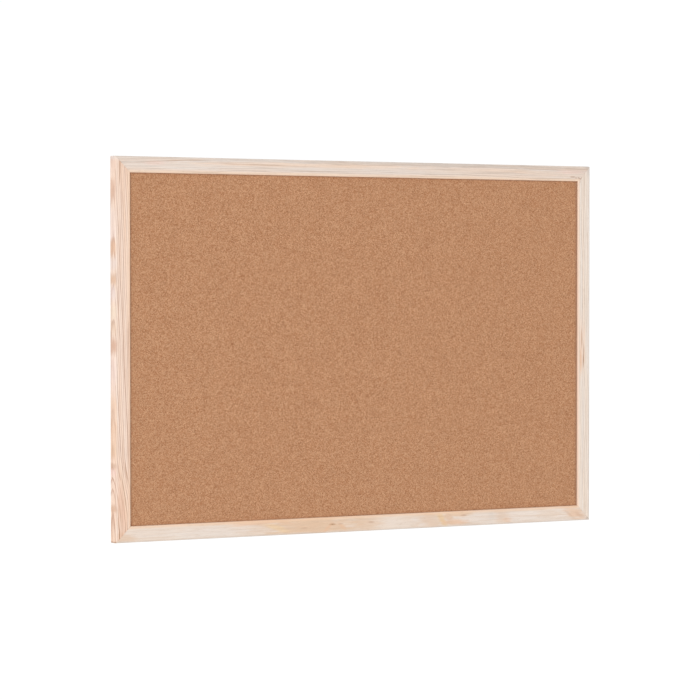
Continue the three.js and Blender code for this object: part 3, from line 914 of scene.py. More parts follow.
def walk(start, heading, moves, step):
    """Stops along runs (run,) and bends (radius, turn); a turn to the left is positive."""
    place = Vector(start)
    gone = 0.0
    stops = [Stop(place.copy(), heading, gone)]
    for move in moves:
        radius, turn = move if len(move) == 2 else (0.0, 0.0)
        length = abs(radius * turn) if turn else move[0]
        count = max(1, round(length / step))
        chord = 2 * radius * math.sin(abs(turn) / count / 2) if turn else length / count
        for _ in range(count):
            heading += turn / count / 2
            place = place + Vector((math.cos(heading), math.sin(heading))) * chord
            heading += turn / count / 2
            gone += length / count
            stops.append(Stop(place.copy(), heading, gone))
    return stops


quarter = math.pi / 2
print("a quarter bend of 2 mm ends at", walk((0, 0), 0, [(2, quarter)], 1)[-1].place[:])

# %% [markdown]
# ## The four mouldings
#
# The section has a groove for the panel between a front and a back lip, generous rounding on the
# outer front edge, less on the inner one and a touch of sandpaper on the rest. The section is
# swept from mitre to mitre: each point of it stops where the mitre plane cuts its own line. A
# planed and sanded stick is never quite true, so the surface waves by a few hundredths of a
# millimetre, always inward, and the arrises carry slight dents. The mitre's rim is broken by a
# tenth of a millimetre, which is what makes the joint show as a thin line. The frame's own corners
# are rubbed round after joining, the top right one most, so the sweep has more stations there.

# %% Section of the moulding
FRONT_LIP = 2.5 * MM
BACK_LIP = 2 * MM
GROOVE_DEPTH = 6 * MM
OUTER_ROUND = 3 * MM
INNER_ROUND = 0.8 * MM
BACK_ROUND = 0.5 * MM
LIP_ROUND = 0.2 * MM
ROUND_STEPS = 8
LONGEST_RUN = 2.6 * MM


def rounded(corners):
    """Outline through (x, y, radius) corners as [(point, mark)], long runs divided."""
    outline = []
    for index, (x, y, radius) in enumerate(corners):
        corner = Vector((x, y))
        if radius == 0:
            outline.append((corner, 0.0))
            continue
        before = (Vector(corners[index - 1][:2]) - corner).normalized()
        after = (Vector(corners[(index + 1) % len(corners)][:2]) - corner).normalized()
        half_angle = before.angle(after) / 2
        centre = corner + (before + after).normalized() * radius / math.sin(half_angle)
        start = corner + before * radius / math.tan(half_angle) - centre
        sign = 1 if before.cross(after) < 0 else -1
        for step in range(ROUND_STEPS + 1):
            share = step / ROUND_STEPS
            turn = Matrix.Rotation(sign * share * (math.pi - 2 * half_angle), 2)
            outline.append((centre + turn @ start, math.sin(math.pi * share)))
    divided = []
    for index, (point, mark) in enumerate(outline):
        following = outline[(index + 1) % len(outline)][0]
        pieces = math.ceil((following - point).length / LONGEST_RUN)
        divided.append((point, mark))
        divided.extend((point.lerp(following, part / pieces), 0.0) for part in range(1, pieces))
    return divided


groove_floor = FACE - GROOVE_DEPTH
SECTION = rounded([
    (0, 0, BACK_ROUND),
    (FACE, 0, BACK_ROUND),
    (FACE, BACK_LIP, LIP_ROUND),
    (groove_floor, BACK_LIP, 0),
    (groove_floor, DEPTH - FRONT_LIP, 0),
    (FACE, DEPTH - FRONT_LIP, LIP_ROUND),
    (FACE, DEPTH, INNER_ROUND),
    (0, DEPTH, OUTER_ROUND),
])
print("section:", len(SECTION), "points")

# %% Sweep a moulding
MITRE_GAP = 0.04 * MM
MITRE_BREAK = 0.1 * MM
STATION_STEP = 3 * MM
WAVE = 0.05 * MM
DENT = 0.16 * MM
DENTS_ABOVE = 0.35
CORNER_STATIONS = (MITRE_BREAK, 0.4 * MM, 0.8 * MM, 1.3 * MM, 2 * MM)
CORNER_ROUNDS = {"top_right": 2.2 * MM}
OTHER_ROUND = 0.9 * MM


def hills(x, y, z):
    """Smooth noise from 0 to 1, with hills about one unit wide."""
    return 0.5 + 0.5 * noise.noise(Vector((x, y, z)))


def worn_away(along, point, mark, seed):
    """How far the wood lies inside the true section: waves all over and dents on the arrises."""
    where = Vector((along, point.x, point.y)) / MM
    wave = hills(where.x / 45, where.y / 9, where.z / 9 + seed)
    dent = noise.noise(Vector((where.x / 7, where.y / 5, where.z / 5 + seed))) - DENTS_ABOVE
    return WAVE * wave + DENT * mark * max(0.0, dent)


def rubbed(side, along, inward, height):
    """A place on one side, back on the arc where it would stand out past a rounded corner."""
    sharp = side.point(along, inward, height)
    level = "top" if sharp.z > MIDDLE.z else "bottom"
    hand = "right" if sharp.x > MIDDLE.x else "left"
    radius = CORNER_ROUNDS.get(level + "_" + hand, OTHER_ROUND)
    centre = Vector((side.length / 2 - radius, radius))
    past = Vector((abs(along), inward)) - centre
    if past.x > 0 and past.y < 0 and past.length > radius:
        past = past.normalized() * radius
    reached = centre + past
    return side.point(math.copysign(reached.x, along), reached.y, height)


def inward_normals(outline):
    """For each point of an outline that runs anticlockwise, the way to its left."""
    ways = []
    for index in range(len(outline)):
        ahead = outline[(index + 1) % len(outline)][0] - outline[index - 1][0]
        ways.append(Vector((-ahead.y, ahead.x)).normalized())
    return ways


def moulding_mesh(side, seed):
    """The section at every station from mitre to mitre, with more of them close to the corners."""
    normals = inward_normals(SECTION)
    reach = side.length / 2 - MITRE_GAP / math.sqrt(2)
    count = round(side.length / STATION_STEP)
    rings = []
    for place in range(count + 1):
        share = 2 * place / count - 1
        ring = []
        for (point, mark), normal in zip(SECTION, normals):
            depth = MITRE_BREAK
            if 0 < place < count:
                depth = worn_away(share * (reach - point.x), point, mark, seed)
            moved = point + normal * depth
            ring.append(rubbed(side, share * (reach - moved.x), moved.x, moved.y))
        rings.append(ring)
        if place in (0, count - 1):
            near = 1 if place else -1
            for back in CORNER_STATIONS[::-near]:
                rings.append([
                    rubbed(side, near * (reach - point.x - back), point.x, point.y)
                    for point, mark in SECTION
                ])
    return skin_mesh("pine_" + side.name, rings, marks=[mark for point, mark in SECTION])


print("corners rubbed round by", round(OTHER_ROUND / MM, 1), "mm, the top right one by more")

# %% [markdown]
# ## V nails
#
# Each mitre is pulled tight by two V shaped nails, driven from the back by a machine. Only their
# top edges show, sunk a little into the wood. The nail is a bent strip, ground thin at its leading
# edge, and its slot in both mouldings is the same shape a touch larger, because the wood springs
# back round it.

# %% Nail and slot
NAIL_WING = 4 * MM
NAIL_HEIGHT = 7 * MM
NAIL_THICKNESS = 0.6 * MM
NAIL_LEADING_EDGE = 0.15 * MM
NAIL_GRIND = 1.2 * MM
NAIL_BEND = 0.7 * MM
NAIL_SINK = 0.3 * MM
NAIL_WALL = 1.2 * MM
NAIL_SPRING = 0.06 * MM
NAIL_RUN_STEPS = 14
BURR = 0.07 * MM
NAIL_INSETS = {"outer": NAIL_WALL + NAIL_WING, "inner": groove_floor - NAIL_WALL}
HANDS = {"left": -1, "right": 1}
CORNERS = {
    f"{level}_{hand}": (right, up)
    for level, up in (("top", 1), ("bottom", -1))
    for hand, right in HANDS.items()
}


def nail_outline(thickness, wing):
    """The bent strip seen from its edge, as points round it."""
    straight = wing - NAIL_BEND
    moves = [(straight,), (NAIL_BEND, -quarter), (straight,)]
    stops = walk((wing, 0), math.pi, moves, straight / NAIL_RUN_STEPS)
    near = [stop.place - stop.left * thickness / 2 for stop in stops]
    far = [stop.place + stop.left * thickness / 2 for stop in stops]
    return near + far[::-1]


def nail_mesh(corner, inset, outlines):
    """Closed mesh over (depth, outline) pairs; its wings point out of the board's corner."""
    right, up = CORNERS[corner]
    across = right * ((RIGHT - LEFT) / 2 - inset)
    above = up * ((TOP - BOTTOM) / 2 - inset)
    bend = MIDDLE + Vector((across, 0, above))
    rings = [
        [bend + Vector((right * point.x, -depth, up * point.y)) for point in outline]
        for depth, outline in outlines
    ]
    return skin_mesh("v_nail", rings, mark=1.0)


def v_nail(corner, inset):
    """Burred at the crown, where the driver hit it, and ground thin at the tip."""
    body = nail_outline(NAIL_THICKNESS, NAIL_WING)
    crown = nail_outline(NAIL_THICKNESS - 2 * BURR, NAIL_WING - BURR)
    edge = nail_outline(NAIL_LEADING_EDGE, NAIL_WING)
    tip = NAIL_SINK + NAIL_HEIGHT
    outlines = [(NAIL_SINK, crown), (NAIL_SINK + BURR, body), (tip - NAIL_GRIND, body), (tip, edge)]
    return nail_mesh(corner, inset, outlines)


def nail_slot(corner, inset):
    """A cutter from outside the wood to just under the nail's tip, wider at its mouth."""
    slot = nail_outline(NAIL_THICKNESS + 2 * NAIL_SPRING, NAIL_WING + NAIL_SPRING)
    mouth = nail_outline(NAIL_THICKNESS + 5 * NAIL_SPRING, NAIL_WING + 2 * NAIL_SPRING)
    bottom = NAIL_SINK + NAIL_HEIGHT + NAIL_SPRING
    outlines = [(-MM, mouth), (NAIL_SPRING, mouth), (NAIL_SINK, slot), (bottom, slot)]
    return nail_mesh(corner, inset, outlines)


print("nail insets:", {row: round(inset / MM, 1) for row, inset in NAIL_INSETS.items()}, "mm")

# %% Make the mouldings
SCREW_RADIUS = 1.5 * MM
SCREW_CLEARANCE = 0.3 * MM
SCREW_SIDES = 48
PILOT_DEPTH = 9 * MM

screw_seat = {}
for hand in HANDS:
    head_low, head_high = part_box("hanger_screw_" + hand)
    screw_seat[hand] = (head_low + head_high) / 2


def turned_rings(axis, profile, sides):
    """Rings round a line along Y through the axis point; profile is (radius, level) pairs."""
    rings = []
    for radius, level in profile:
        ring = []
        for side in range(sides):
            angle = 2 * math.pi * side / sides
            across = Vector((math.cos(angle) * radius, 0, math.sin(angle) * radius))
            ring.append(Vector((axis.x, level, axis.z)) + across)
        rings.append(ring)
    return rings


def screw_bore(hand, levels):
    """A cutter for one screw's hole between two levels."""
    profile = [(SCREW_RADIUS + SCREW_CLEARANCE, level) for level in levels]
    return skin_mesh("bore", turned_rings(screw_seat[hand], profile, SCREW_SIDES))


for seed, (name, side) in enumerate(SIDES.items()):
    end = name.split("_")[1]
    tools = [
        nail_slot(corner, inset)
        for corner in CORNERS if end in corner.split("_")
        for inset in NAIL_INSETS.values()
    ]
    if end in HANDS:
        tools.append(screw_bore(end, (BACK + MM, BACK - PILOT_DEPTH)))
    mesh = cut(moulding_mesh(side, 20 * seed), tools)
    stand_in("pine_" + name, mesh, PINE[name], "pine", "frame_" + name)

# %% [markdown]
# ## Cork
#
# The sheet is cork bark ground to grains of about a millimetre, pressed with a binder into a block
# and sliced. Every grain has its own tan, a few are dark bark, thin binder lines run between them,
# and the sliced face is pitted where a grain tore. A Voronoi texture divides space into such cells.
# Two sizes of cell laid over each other look less regular than one. Towards the frame the sheet is
# a little greyer, which is painted shade from the lip over it, and that band is wider along the stiles.

# %% Cork grain group
pen, given, made = new_group(
    "cork grains",
    [("Place", VECTOR, NOWHERE), ("Size", FLOAT, 2), ("Offset", VECTOR, NOWHERE)],
    [("Tone", FLOAT), ("Bark", FLOAT), ("Seam", FLOAT), ("Swell", FLOAT)],
)
seat = pen.vector("ADD", given["Place"], given["Offset"])
seat = pen.scale(seat, pen.math("DIVIDE", 1.0, given["Size"]))
stir = pen.add("TexNoise", {"Vector": seat, "Scale": 1.3, "Detail": 2.0}).outputs["Color"]
stirred = pen.vector("ADD", seat, pen.scale(pen.vector("SUBTRACT", stir, (0.5, 0.5, 0.5)), 0.9))
divided = {"Vector": stirred, "Scale": 1.0, "Randomness": 1.0}
cells = pen.add("TexVoronoi", divided, feature="F1").outputs
to_rim = pen.add("TexVoronoi", divided, feature="DISTANCE_TO_EDGE").outputs["Distance"]
hue = pen.split(cells["Color"])
pen.give(made["Tone"], hue["X"])
pen.give(made["Bark"], pen.ramp(hue["Y"], 0.88, 0.93))
pen.give(made["Seam"], pen.ramp(to_rim, 0.0, 0.12, 1, 0))
pen.give(made["Swell"], pen.ramp(to_rim, 0.0, 0.35))
cork_grains = pen.drawn()

# %% Cork finish
CORK_PALE = paint(217, 169, 131)
CORK_TAN = paint(180, 124, 86)
CORK_BARK = paint(130, 76, 42)
CORK_SEAM = paint(152, 98, 60)
CORK_PAINTED_SHADE = paint(152, 120, 100)
COARSE_GRAIN = 1.1
FINE_GRAIN = 0.52
CORK_DUST = 0.1
CORK_RELIEF = 0.08 * MM

cork, pen, shader = new_finish("cork", roughness=0.9)
place = in_millimetres(pen)
coarse = pen.group(cork_grains, {"Place": place, "Size": COARSE_GRAIN})
fine = pen.group(cork_grains, {"Place": place, "Size": FINE_GRAIN, "Offset": (31, 17, 5)})
tone = pen.plus(pen.times(coarse["Tone"], 0.45), fine["Tone"], 0.55)
colour = pen.mix(pen.ramp(tone, 0.1, 0.9), CORK_TAN, CORK_PALE)
colour = pen.mix(pen.times(coarse["Bark"], 0.4), colour, CORK_BARK)
colour = pen.mix(pen.times(fine["Bark"], 0.6), colour, CORK_BARK)
colour = pen.mix(pen.times(coarse["Seam"], 0.3), colour, CORK_SEAM)
mottle = pen.noise(place, (0.08, 0.08, 0.08), detail=3)
colour = pen.scale(colour, pen.ramp(mottle, 0.25, 0.75, 0.97, 1.015))
centred = pen.vector("ABSOLUTE", pen.vector("SUBTRACT", place, tuple(MIDDLE / MM)))
opening = Vector(((RIGHT - LEFT) / 2 - FACE, 0, (TOP - BOTTOM) / 2 - FACE)) / MM
past = pen.split(pen.vector("SUBTRACT", centred, tuple(opening)))
# painted shade: along the frame the cork is mixed towards a greyer brown, standing in for the lip's
# contact shadow, in a wider band along the stiles
painted_shade_beside = pen.math("ADD", pen.ramp(past["X"], -4, -1.2, 0, 0.4), pen.ramp(past["X"], -1.2, 0, 0, 0.38))
rim = pen.math("MAXIMUM", painted_shade_beside, pen.ramp(past["Z"], -2.2, 0, 0, 0.28))
colour = pen.mix(rim, colour, CORK_PAINTED_SHADE)
pen.give(shader["Base Color"], dusted(pen, colour, place, CORK_DUST)["Colour"])
pen.give(shader["Roughness"], pen.ramp(tone, 0, 1, 0.95, 0.82))
give_relief(pen, shader, pen.plus(coarse["Swell"], fine["Swell"], 0.4), 0.6, CORK_RELIEF)
pen.give(shader["Specular IOR Level"], 0.25)
print("cork finish:", len(cork.node_tree.nodes), "nodes")

# %% [markdown]
# ### The sheet
#
# A plain box would look printed from close by, so the visible side of the sheet is a fine grid
# whose points sink a little in the pits between grains. The hidden border in the groove and the
# glued side stay flat, which keeps the sheet closed with few faces. The kraft paper on the back is
# made by the same helper, with slow waves instead of pits.

# %% Sheet helper
def smooth_step(value):
    """From 0 to 1 as the value does, slow at both ends."""
    value = min(1.0, max(0.0, value))
    return value * value * (3 - 2 * value)


def sheet_mesh(name, low, high, cell, facing, depth_at, border):
    """Closed sheet whose side towards facing, -1 for the room and 1 for the wall, is a relief."""
    columns = round((high.x - low.x) / cell)
    rows = round((high.z - low.z) / cell)
    level = low.y if facing < 0 else high.y
    flat_level = high.y if facing < 0 else low.y
    points = []
    for column in range(columns + 1):
        x = low.x + (high.x - low.x) * column / columns
        for row in range(rows + 1):
            z = low.z + (high.z - low.z) * row / rows
            rim = min(x - low.x, high.x - x, z - low.z, high.z - z)
            depth = depth_at(x / MM, z / MM) * smooth_step(rim / border)
            points.append((x, level - facing * depth, z))
    flat = len(points)
    for column in range(columns + 1):
        x = low.x + (high.x - low.x) * column / columns
        points.extend([(x, flat_level, low.z), (x, flat_level, high.z)])
    faces = []
    for column in range(columns):
        first = column * (rows + 1)
        second = first + rows + 1
        edge = flat + 2 * column
        for row in range(rows):
            faces.append((first + row, second + row, second + row + 1, first + row + 1))
        faces.append((edge, edge + 1, edge + 3, edge + 2))
        faces.append((first, edge, edge + 2, second))
        faces.append((first + rows, second + rows, edge + 3, edge + 1))
    last = columns * (rows + 1)
    faces.append((*range(0, rows + 1), flat + 1, flat))
    faces.append((*range(last, last + rows + 1), flat + 2 * columns + 1, flat + 2 * columns))
    shape = bmesh.new()
    corners = [shape.verts.new(point) for point in points]
    for face in faces:
        shape.faces.new([corners[index] for index in face])
    return outward_mesh(name, shape)


print("sheet helper ready")

# %% Cork sheet
CORK_CELL = 1.6 * MM
CORK_BORDER = 3 * MM
PIT = 0.14 * MM
PIT_SPACING = 2.3
PIT_SHARPNESS = 2.5
CORK_WAVE = 0.05 * MM


def cork_depth(x, z):
    """How far the sliced face lies below its highest grains, at a place in millimetres."""
    nearest, second = noise.voronoi(Vector((x / PIT_SPACING, z / PIT_SPACING, 0)))[0][:2]
    seam = 1 - smooth_step((second - nearest) * PIT_SHARPNESS)
    return PIT * seam * hills(x / 5, z / 5, 9) + CORK_WAVE * hills(x / 60, z / 60, 4)


low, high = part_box("cork_sheet")
mesh = sheet_mesh("cork_face", low, high, CORK_CELL, -1, cork_depth, CORK_BORDER)
stand_in("cork_face", mesh, cork, "cork", "cork_sheet")

# %% [markdown]
# ## Board and paper behind the cork
#
# The core is soft fibreboard, which nobody sees once the board is together, and the back is closed
# with brown kraft paper board. Both are wood fibres matted flat: noise stretched five ways at once
# looks like fibres that lie in all directions. Pulp also holds specks of bark, and the wire cloth
# that it was made on leaves faint bands along the web.

# %% Matted fibre group
FIBRE_TURNS = (0.1, 0.75, 1.3, 1.95, 2.6)

pen, given, made = new_group(
    "matted fibres",
    [("Place", VECTOR, NOWHERE), ("Length", FLOAT, 3), ("Width", FLOAT, 0.2)],
    [("Fibres", FLOAT), ("Clouds", FLOAT), ("Specks", FLOAT), ("Web", FLOAT)],
)
place = given["Place"]
stretch = pen.add("CombineXYZ", {
    "X": pen.math("DIVIDE", 1.0, given["Length"]),
    "Y": pen.math("DIVIDE", 1.0, given["Width"]),
    "Z": pen.math("DIVIDE", 1.0, given["Width"]),
}).outputs["Vector"]
wander = pen.add("TexNoise", {"Vector": pen.scale(place, 0.35), "Scale": 1.0}).outputs["Color"]
bent = pen.vector("ADD", place, pen.scale(wander, 1.6))
felt = 0.0
for layer, turn in enumerate(FIBRE_TURNS):
    turned = {"Vector": bent, "Location": (layer * 19, 0, layer * 7), "Rotation": (0, turn, 0)}
    laid = pen.add("Mapping", turned).outputs["Vector"]
    felt = pen.math("MAXIMUM", felt, pen.ramp(pen.noise(laid, stretch), 0.56, 0.76))
pen.give(made["Fibres"], felt)
pulp = pen.noise(place, (0.012, 0.012, 0.012), detail=3)
flocks = pen.noise(place, (0.4, 0.4, 0.4), detail=4)
pen.give(made["Clouds"], pen.plus(pen.times(pulp, 0.4), flocks, 0.6))
pen.give(made["Specks"], pen.ramp(pen.noise(place, (1.6, 1.6, 1.6), detail=1), 0.74, 0.8))
pen.give(made["Web"], pen.noise(place, (0.004, 0.4, 0.4), detail=3))
matted_fibres = pen.drawn()

# %% Fibreboard and kraft finishes
PULP_DUST = 0.25
FIBRE_SMOOTHER = 0.12


def matted_finish(name, base, fibre, cloud, speck, length, width, roughness, relief):
    """A felted sheet: cloudy pulp, paler fibres, bark specks and the bands of the wire cloth."""
    material, pen, shader = new_finish(name, roughness)
    place = in_millimetres(pen)
    felt = pen.group(matted_fibres, {"Place": place, "Length": length, "Width": width})
    colour = pen.mix(pen.ramp(felt["Clouds"], 0.35, 0.65), base, cloud)
    colour = pen.mix(pen.times(felt["Fibres"], 0.4), colour, fibre)
    colour = pen.mix(pen.times(felt["Specks"], 0.5), colour, speck)
    colour = pen.scale(colour, pen.ramp(felt["Web"], 0.3, 0.7, 0.965, 1.03))
    pen.give(shader["Base Color"], dusted(pen, colour, place, PULP_DUST)["Colour"])
    smoother = pen.ramp(felt["Fibres"], 0, 1, roughness, roughness - FIBRE_SMOOTHER)
    pen.give(shader["Roughness"], smoother)
    give_relief(pen, shader, felt["Fibres"], 0.5, relief)
    pen.give(shader["Specular IOR Level"], 0.3)
    return material


fibreboard = matted_finish(
    "fibreboard", base=paint(177, 148, 108), fibre=paint(206, 182, 144), cloud=paint(156, 127, 90),
    speck=paint(104, 76, 48), length=4, width=0.35, roughness=0.95, relief=0.15 * MM)
kraft = matted_finish(
    "kraft_backing", base=paint(173, 136, 95), fibre=paint(198, 164, 124), cloud=paint(161, 124, 84),
    speck=paint(96, 68, 42), length=2.6, width=0.14, roughness=0.85, relief=0.03 * MM)
core = frame["nodes"]["fibreboard_core"]
core.data.materials.clear()
core.data.materials.append(fibreboard)
print("fibreboard on", core.name)

# %% Kraft backing
KRAFT_CELL = 5 * MM
KRAFT_BORDER = 9 * MM
KRAFT_WAVE = 0.18 * MM


def kraft_depth(x, z):
    """Slow cockles, as paper board gets from damp."""
    return KRAFT_WAVE * hills(x / 55, z / 70, 2)


low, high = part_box("backing_sheet")
mesh = sheet_mesh("kraft_back", low, high, KRAFT_CELL, 1, kraft_depth, KRAFT_BORDER)
stand_in("kraft_back", mesh, kraft, "kraft_backing", "backing_sheet")

# %% [markdown]
# ## Metal
#
# The hangers are zinc plated in a rolling barrel, which leaves soft clouds and fine scratches, and
# wears to brighter metal on the edges. The nails are bare drawn steel, darker and scored along the
# strip. The scratches are one more shared group.

# %% Fine scratch group
SCRATCH_TURNS = (0.4, 1.9)
SCRATCHES_ACROSS = 9.0

pen, given, made = new_group(
    "fine scratches",
    [("Place", VECTOR, NOWHERE), ("Length", FLOAT, 3)],
    [("Scratches", FLOAT), ("Clouds", FLOAT)],
)
marks = []
for turn in SCRATCH_TURNS:
    turned = {"Vector": given["Place"], "Rotation": (turn, turn * 1.7, 0)}
    laid = pen.add("Mapping", turned).outputs["Vector"]
    lengthwise = pen.math("DIVIDE", 1.0, given["Length"])
    drawn_out = {"X": lengthwise, "Y": SCRATCHES_ACROSS, "Z": SCRATCHES_ACROSS}
    stretch = pen.add("CombineXYZ", drawn_out).outputs["Vector"]
    marks.append(pen.ramp(pen.noise(laid, stretch, detail=1), 0.6, 0.72))
pen.give(made["Scratches"], pen.math("MAXIMUM", *marks))
pen.give(made["Clouds"], pen.noise(given["Place"], (0.5, 0.5, 0.5), detail=4))
fine_scratches = pen.drawn()

# %% Metal finishes
METAL_WEAR = 0.7
METAL_RELIEF = 0.01 * MM


def metal_finish(name, base, cloud, worn, roughness, scratch_length):
    """Bare or plated steel with clouds, scratches and bright arrises."""
    material, pen, shader = new_finish(name, roughness, metallic=1.0)
    place = in_millimetres(pen)
    marks = pen.group(fine_scratches, {"Place": place, "Length": scratch_length})
    colour = pen.mix(pen.ramp(marks["Clouds"], 0.35, 0.65), base, cloud)
    colour = pen.mix(pen.times(marks["Scratches"], 0.35), colour, worn)
    edges = worn_at_edges(pen, colour, worn, place, METAL_WEAR)
    pen.give(shader["Base Color"], edges["Colour"])
    dulled = pen.ramp(marks["Clouds"], 0.3, 0.7, roughness - 0.06, roughness + 0.1)
    polished = pen.math("SUBTRACT", dulled, pen.times(edges["Mask"], WORN_SMOOTHER))
    pen.give(shader["Roughness"], polished)
    give_relief(pen, shader, marks["Scratches"], 0.3, METAL_RELIEF)
    return material


zinc = metal_finish(
    "zinc_plate", base=paint(196, 199, 202), cloud=paint(178, 183, 190), worn=paint(226, 228, 230),
    roughness=0.34, scratch_length=2.5)
steel = metal_finish(
    "nail_steel", base=paint(140, 141, 143), cloud=paint(112, 112, 114), worn=paint(190, 190, 190),
    roughness=0.42, scratch_length=5)
print("metal finishes ready")

# %% V nails in their slots
for corner in CORNERS:
    for row, inset in NAIL_INSETS.items():
        place = f"{corner}_{row}"
        stand_in("v_nail_" + place, v_nail(corner, inset), steel, "nail_steel", "corner_nail_" + place)

# %% [markdown]
# ## Ring hangers
#
# A hanger is one strip of steel folded round the straight side of a wire ring, with both leaves
# held by a pan head screw. The strip is walked in the plane of its edge: up the wood, round the
# wire and down again. Its section is a thin rectangle with broken edges, and its width shrinks
# along an arc towards both ends, which rounds them as the press tool does.

# %% Strap
strap_low, strap_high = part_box("hanger_strap_left")
STRAP_WIDTH = strap_high.x - strap_low.x
STRAP_STEP = 0.25 * MM
STRAP_THICKNESS = 0.8 * MM
STRAP_EDGE = 0.14 * MM
EDGE_STEPS = 3
LEAF_GAP = 0.1 * MM
NECK_RADIUS = 1.5 * MM
WIRE_RADIUS = 1 * MM
LOOP_CLEARANCE = 0.3 * MM
LOOP_RADIUS = WIRE_RADIUS + LOOP_CLEARANCE + STRAP_THICKNESS / 2
END_ANGLES = [math.radians(angle) for angle in (10, 20, 30, 40, 48, 56, 63, 70, 76, 81, 85)]


def strip_section(half_width):
    """Rectangle with rounded corners round a strip, as (across, above) points."""
    half_height = STRAP_THICKNESS / 2
    points = []
    for start, (right, up) in enumerate(((1, 1), (-1, 1), (-1, -1), (1, -1))):
        for step in range(EDGE_STEPS + 1):
            angle = (start + step / EDGE_STEPS) * quarter
            across = right * (half_width - STRAP_EDGE) + STRAP_EDGE * math.cos(angle)
            above = up * (half_height - STRAP_EDGE) + STRAP_EDGE * math.sin(angle)
            points.append((across, above))
    return points


def strap_mesh(hand):
    """The folded strip, walked from the end of the lower leaf to the end of the upper one."""
    bar_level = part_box("hanger_ring_" + hand)[0].z + WIRE_RADIUS
    strap_low, strap_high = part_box("hanger_strap_" + hand)
    centre_x = (strap_low.x + strap_high.x) / 2
    half_width = STRAP_WIDTH / 2
    tail = bar_level - strap_low.z
    rise = STRAP_THICKNESS + LEAF_GAP + NECK_RADIUS - LOOP_RADIUS
    neck_turn = math.acos(rise / (LOOP_RADIUS + NECK_RADIUS))
    neck_span = (LOOP_RADIUS + NECK_RADIUS) * math.sin(neck_turn)
    loop = (LOOP_RADIUS, math.pi + neck_turn)
    neck = (NECK_RADIUS, -neck_turn)
    moves = [(tail,), loop, neck, (tail - neck_span,)]
    stops = walk((-tail, STRAP_THICKNESS / 2), 0, moves, STRAP_STEP)
    length = stops[-1].gone
    full = [stop for stop in stops if half_width <= min(stop.gone, length - stop.gone)]
    stations = [(stop, half_width) for stop in full]
    for angle in END_ANGLES:
        for stop, way in ((full[0], -1), (full[-1], 1)):
            place = stop.place + stop.ahead * way * (half_width * math.sin(angle))
            moved = Stop(place, math.atan2(stop.ahead.y, stop.ahead.x), 0)
            stations.insert(0 if way < 0 else len(stations), (moved, half_width * math.cos(angle)))
    rings = []
    for stop, reach in stations:
        ring = []
        for across, above in strip_section(reach):
            place = stop.place + stop.left * above
            ring.append(Vector((centre_x + across, BACK + place.y, bar_level + place.x)))
        rings.append(ring)
    strap = skin_mesh("folded_strap", rings, mark=1.0)
    return cut(strap, [screw_bore(hand, (BACK - MM, BACK + 3 * MM))])


for hand in HANDS:
    stand_in("folded_strap_" + hand, strap_mesh(hand), zinc, "zinc_plate", "hanger_strap_" + hand)

# %% [markdown]
# The ring is one length of wire, bent into a D whose two ends meet in the middle of the strap's
# loop, where the strap hides the joint. It turns in that loop, so it rides on a body of its own.

# %% Wire ring
RING_SIDE_PLAY = 0.3 * MM
RING_CORNER = 2 * MM
RING_SIDE_RUN = 1 * MM
RING_STEP = 0.3 * MM
RING_WEAR = 0.35
BUTT_GAP = 0.3 * MM
WIRE_SIDES = 24
WIRE_CHAMFER = 0.15 * MM


def ring_mesh(hand):
    """A round section walked round the D from one butt end to the other."""
    ring_low, ring_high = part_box("hanger_ring_" + hand)
    middle = (ring_low + ring_high) / 2
    bar_level = ring_low.z + WIRE_RADIUS
    half_width = STRAP_WIDTH / 2 + RING_SIDE_PLAY + RING_CORNER
    half_bar = half_width - RING_CORNER - BUTT_GAP / 2
    corner = (RING_CORNER, quarter)
    moves = [(half_bar,), corner, (RING_SIDE_RUN,), (half_width, math.pi), (RING_SIDE_RUN,), corner,
             (half_bar,)]
    stops = walk((BUTT_GAP / 2, 0), 0, moves, RING_STEP)
    butt = WIRE_RADIUS - WIRE_CHAMFER
    stations = [(stops[0], 0, butt), (stops[0], WIRE_CHAMFER, WIRE_RADIUS)]
    stations.extend((stop, 0, WIRE_RADIUS) for stop in stops[1:-1])
    stations.extend([(stops[-1], -WIRE_CHAMFER, WIRE_RADIUS), (stops[-1], 0, butt)])
    rings = []
    for stop, shift, radius in stations:
        place = stop.place + stop.ahead * shift
        ring = []
        for side in range(WIRE_SIDES):
            angle = 2 * math.pi * side / WIRE_SIDES
            out = stop.left * math.cos(angle) * radius
            ring.append(Vector((
                middle.x + place.x + out.x,
                middle.y + math.sin(angle) * radius,
                bar_level + place.y + out.y,
            )))
        rings.append(ring)
    return skin_mesh("wire_ring", rings, mark=RING_WEAR)


for hand in HANDS:
    name = "wire_ring_" + hand
    stand_in(name, ring_mesh(hand), zinc, "zinc_plate", "hanger_ring_" + hand, body="ring_" + hand)

# %% [markdown]
# The screw is turned in the round: a pan head with a soft crown, a shank with a rolled thread and
# a gimlet point. The thread is a ridge whose height depends on the angle and the depth together,
# so that it winds by itself. A tapered cross, sunk into the crown, takes the driver.

# %% Pan head screw
HEAD_RADIUS = 3 * MM
HEAD_RIM = 0.6 * MM
HEAD_CROWN = 1.5 * MM
HEAD_EDGE = 0.15 * MM
SCREW_LENGTH = 10 * MM
SCREW_POINT = 3 * MM
THREAD_PITCH = 1.1 * MM
THREAD_DEPTH = 0.4 * MM
THREAD_STEP = 0.14 * MM
CROSS_REACH = 1.5 * MM
CROSS_HALF_WIDTH = 0.35 * MM
CROSS_DEPTH = 1.3 * MM
CROSS_FLOOR_SHARE = 0.45
CROWN_STEPS = 14
POINT_SHARE = 0.05
CROWN_CENTRE_SHARE = 0.04
SCREW_WEAR = 0.3


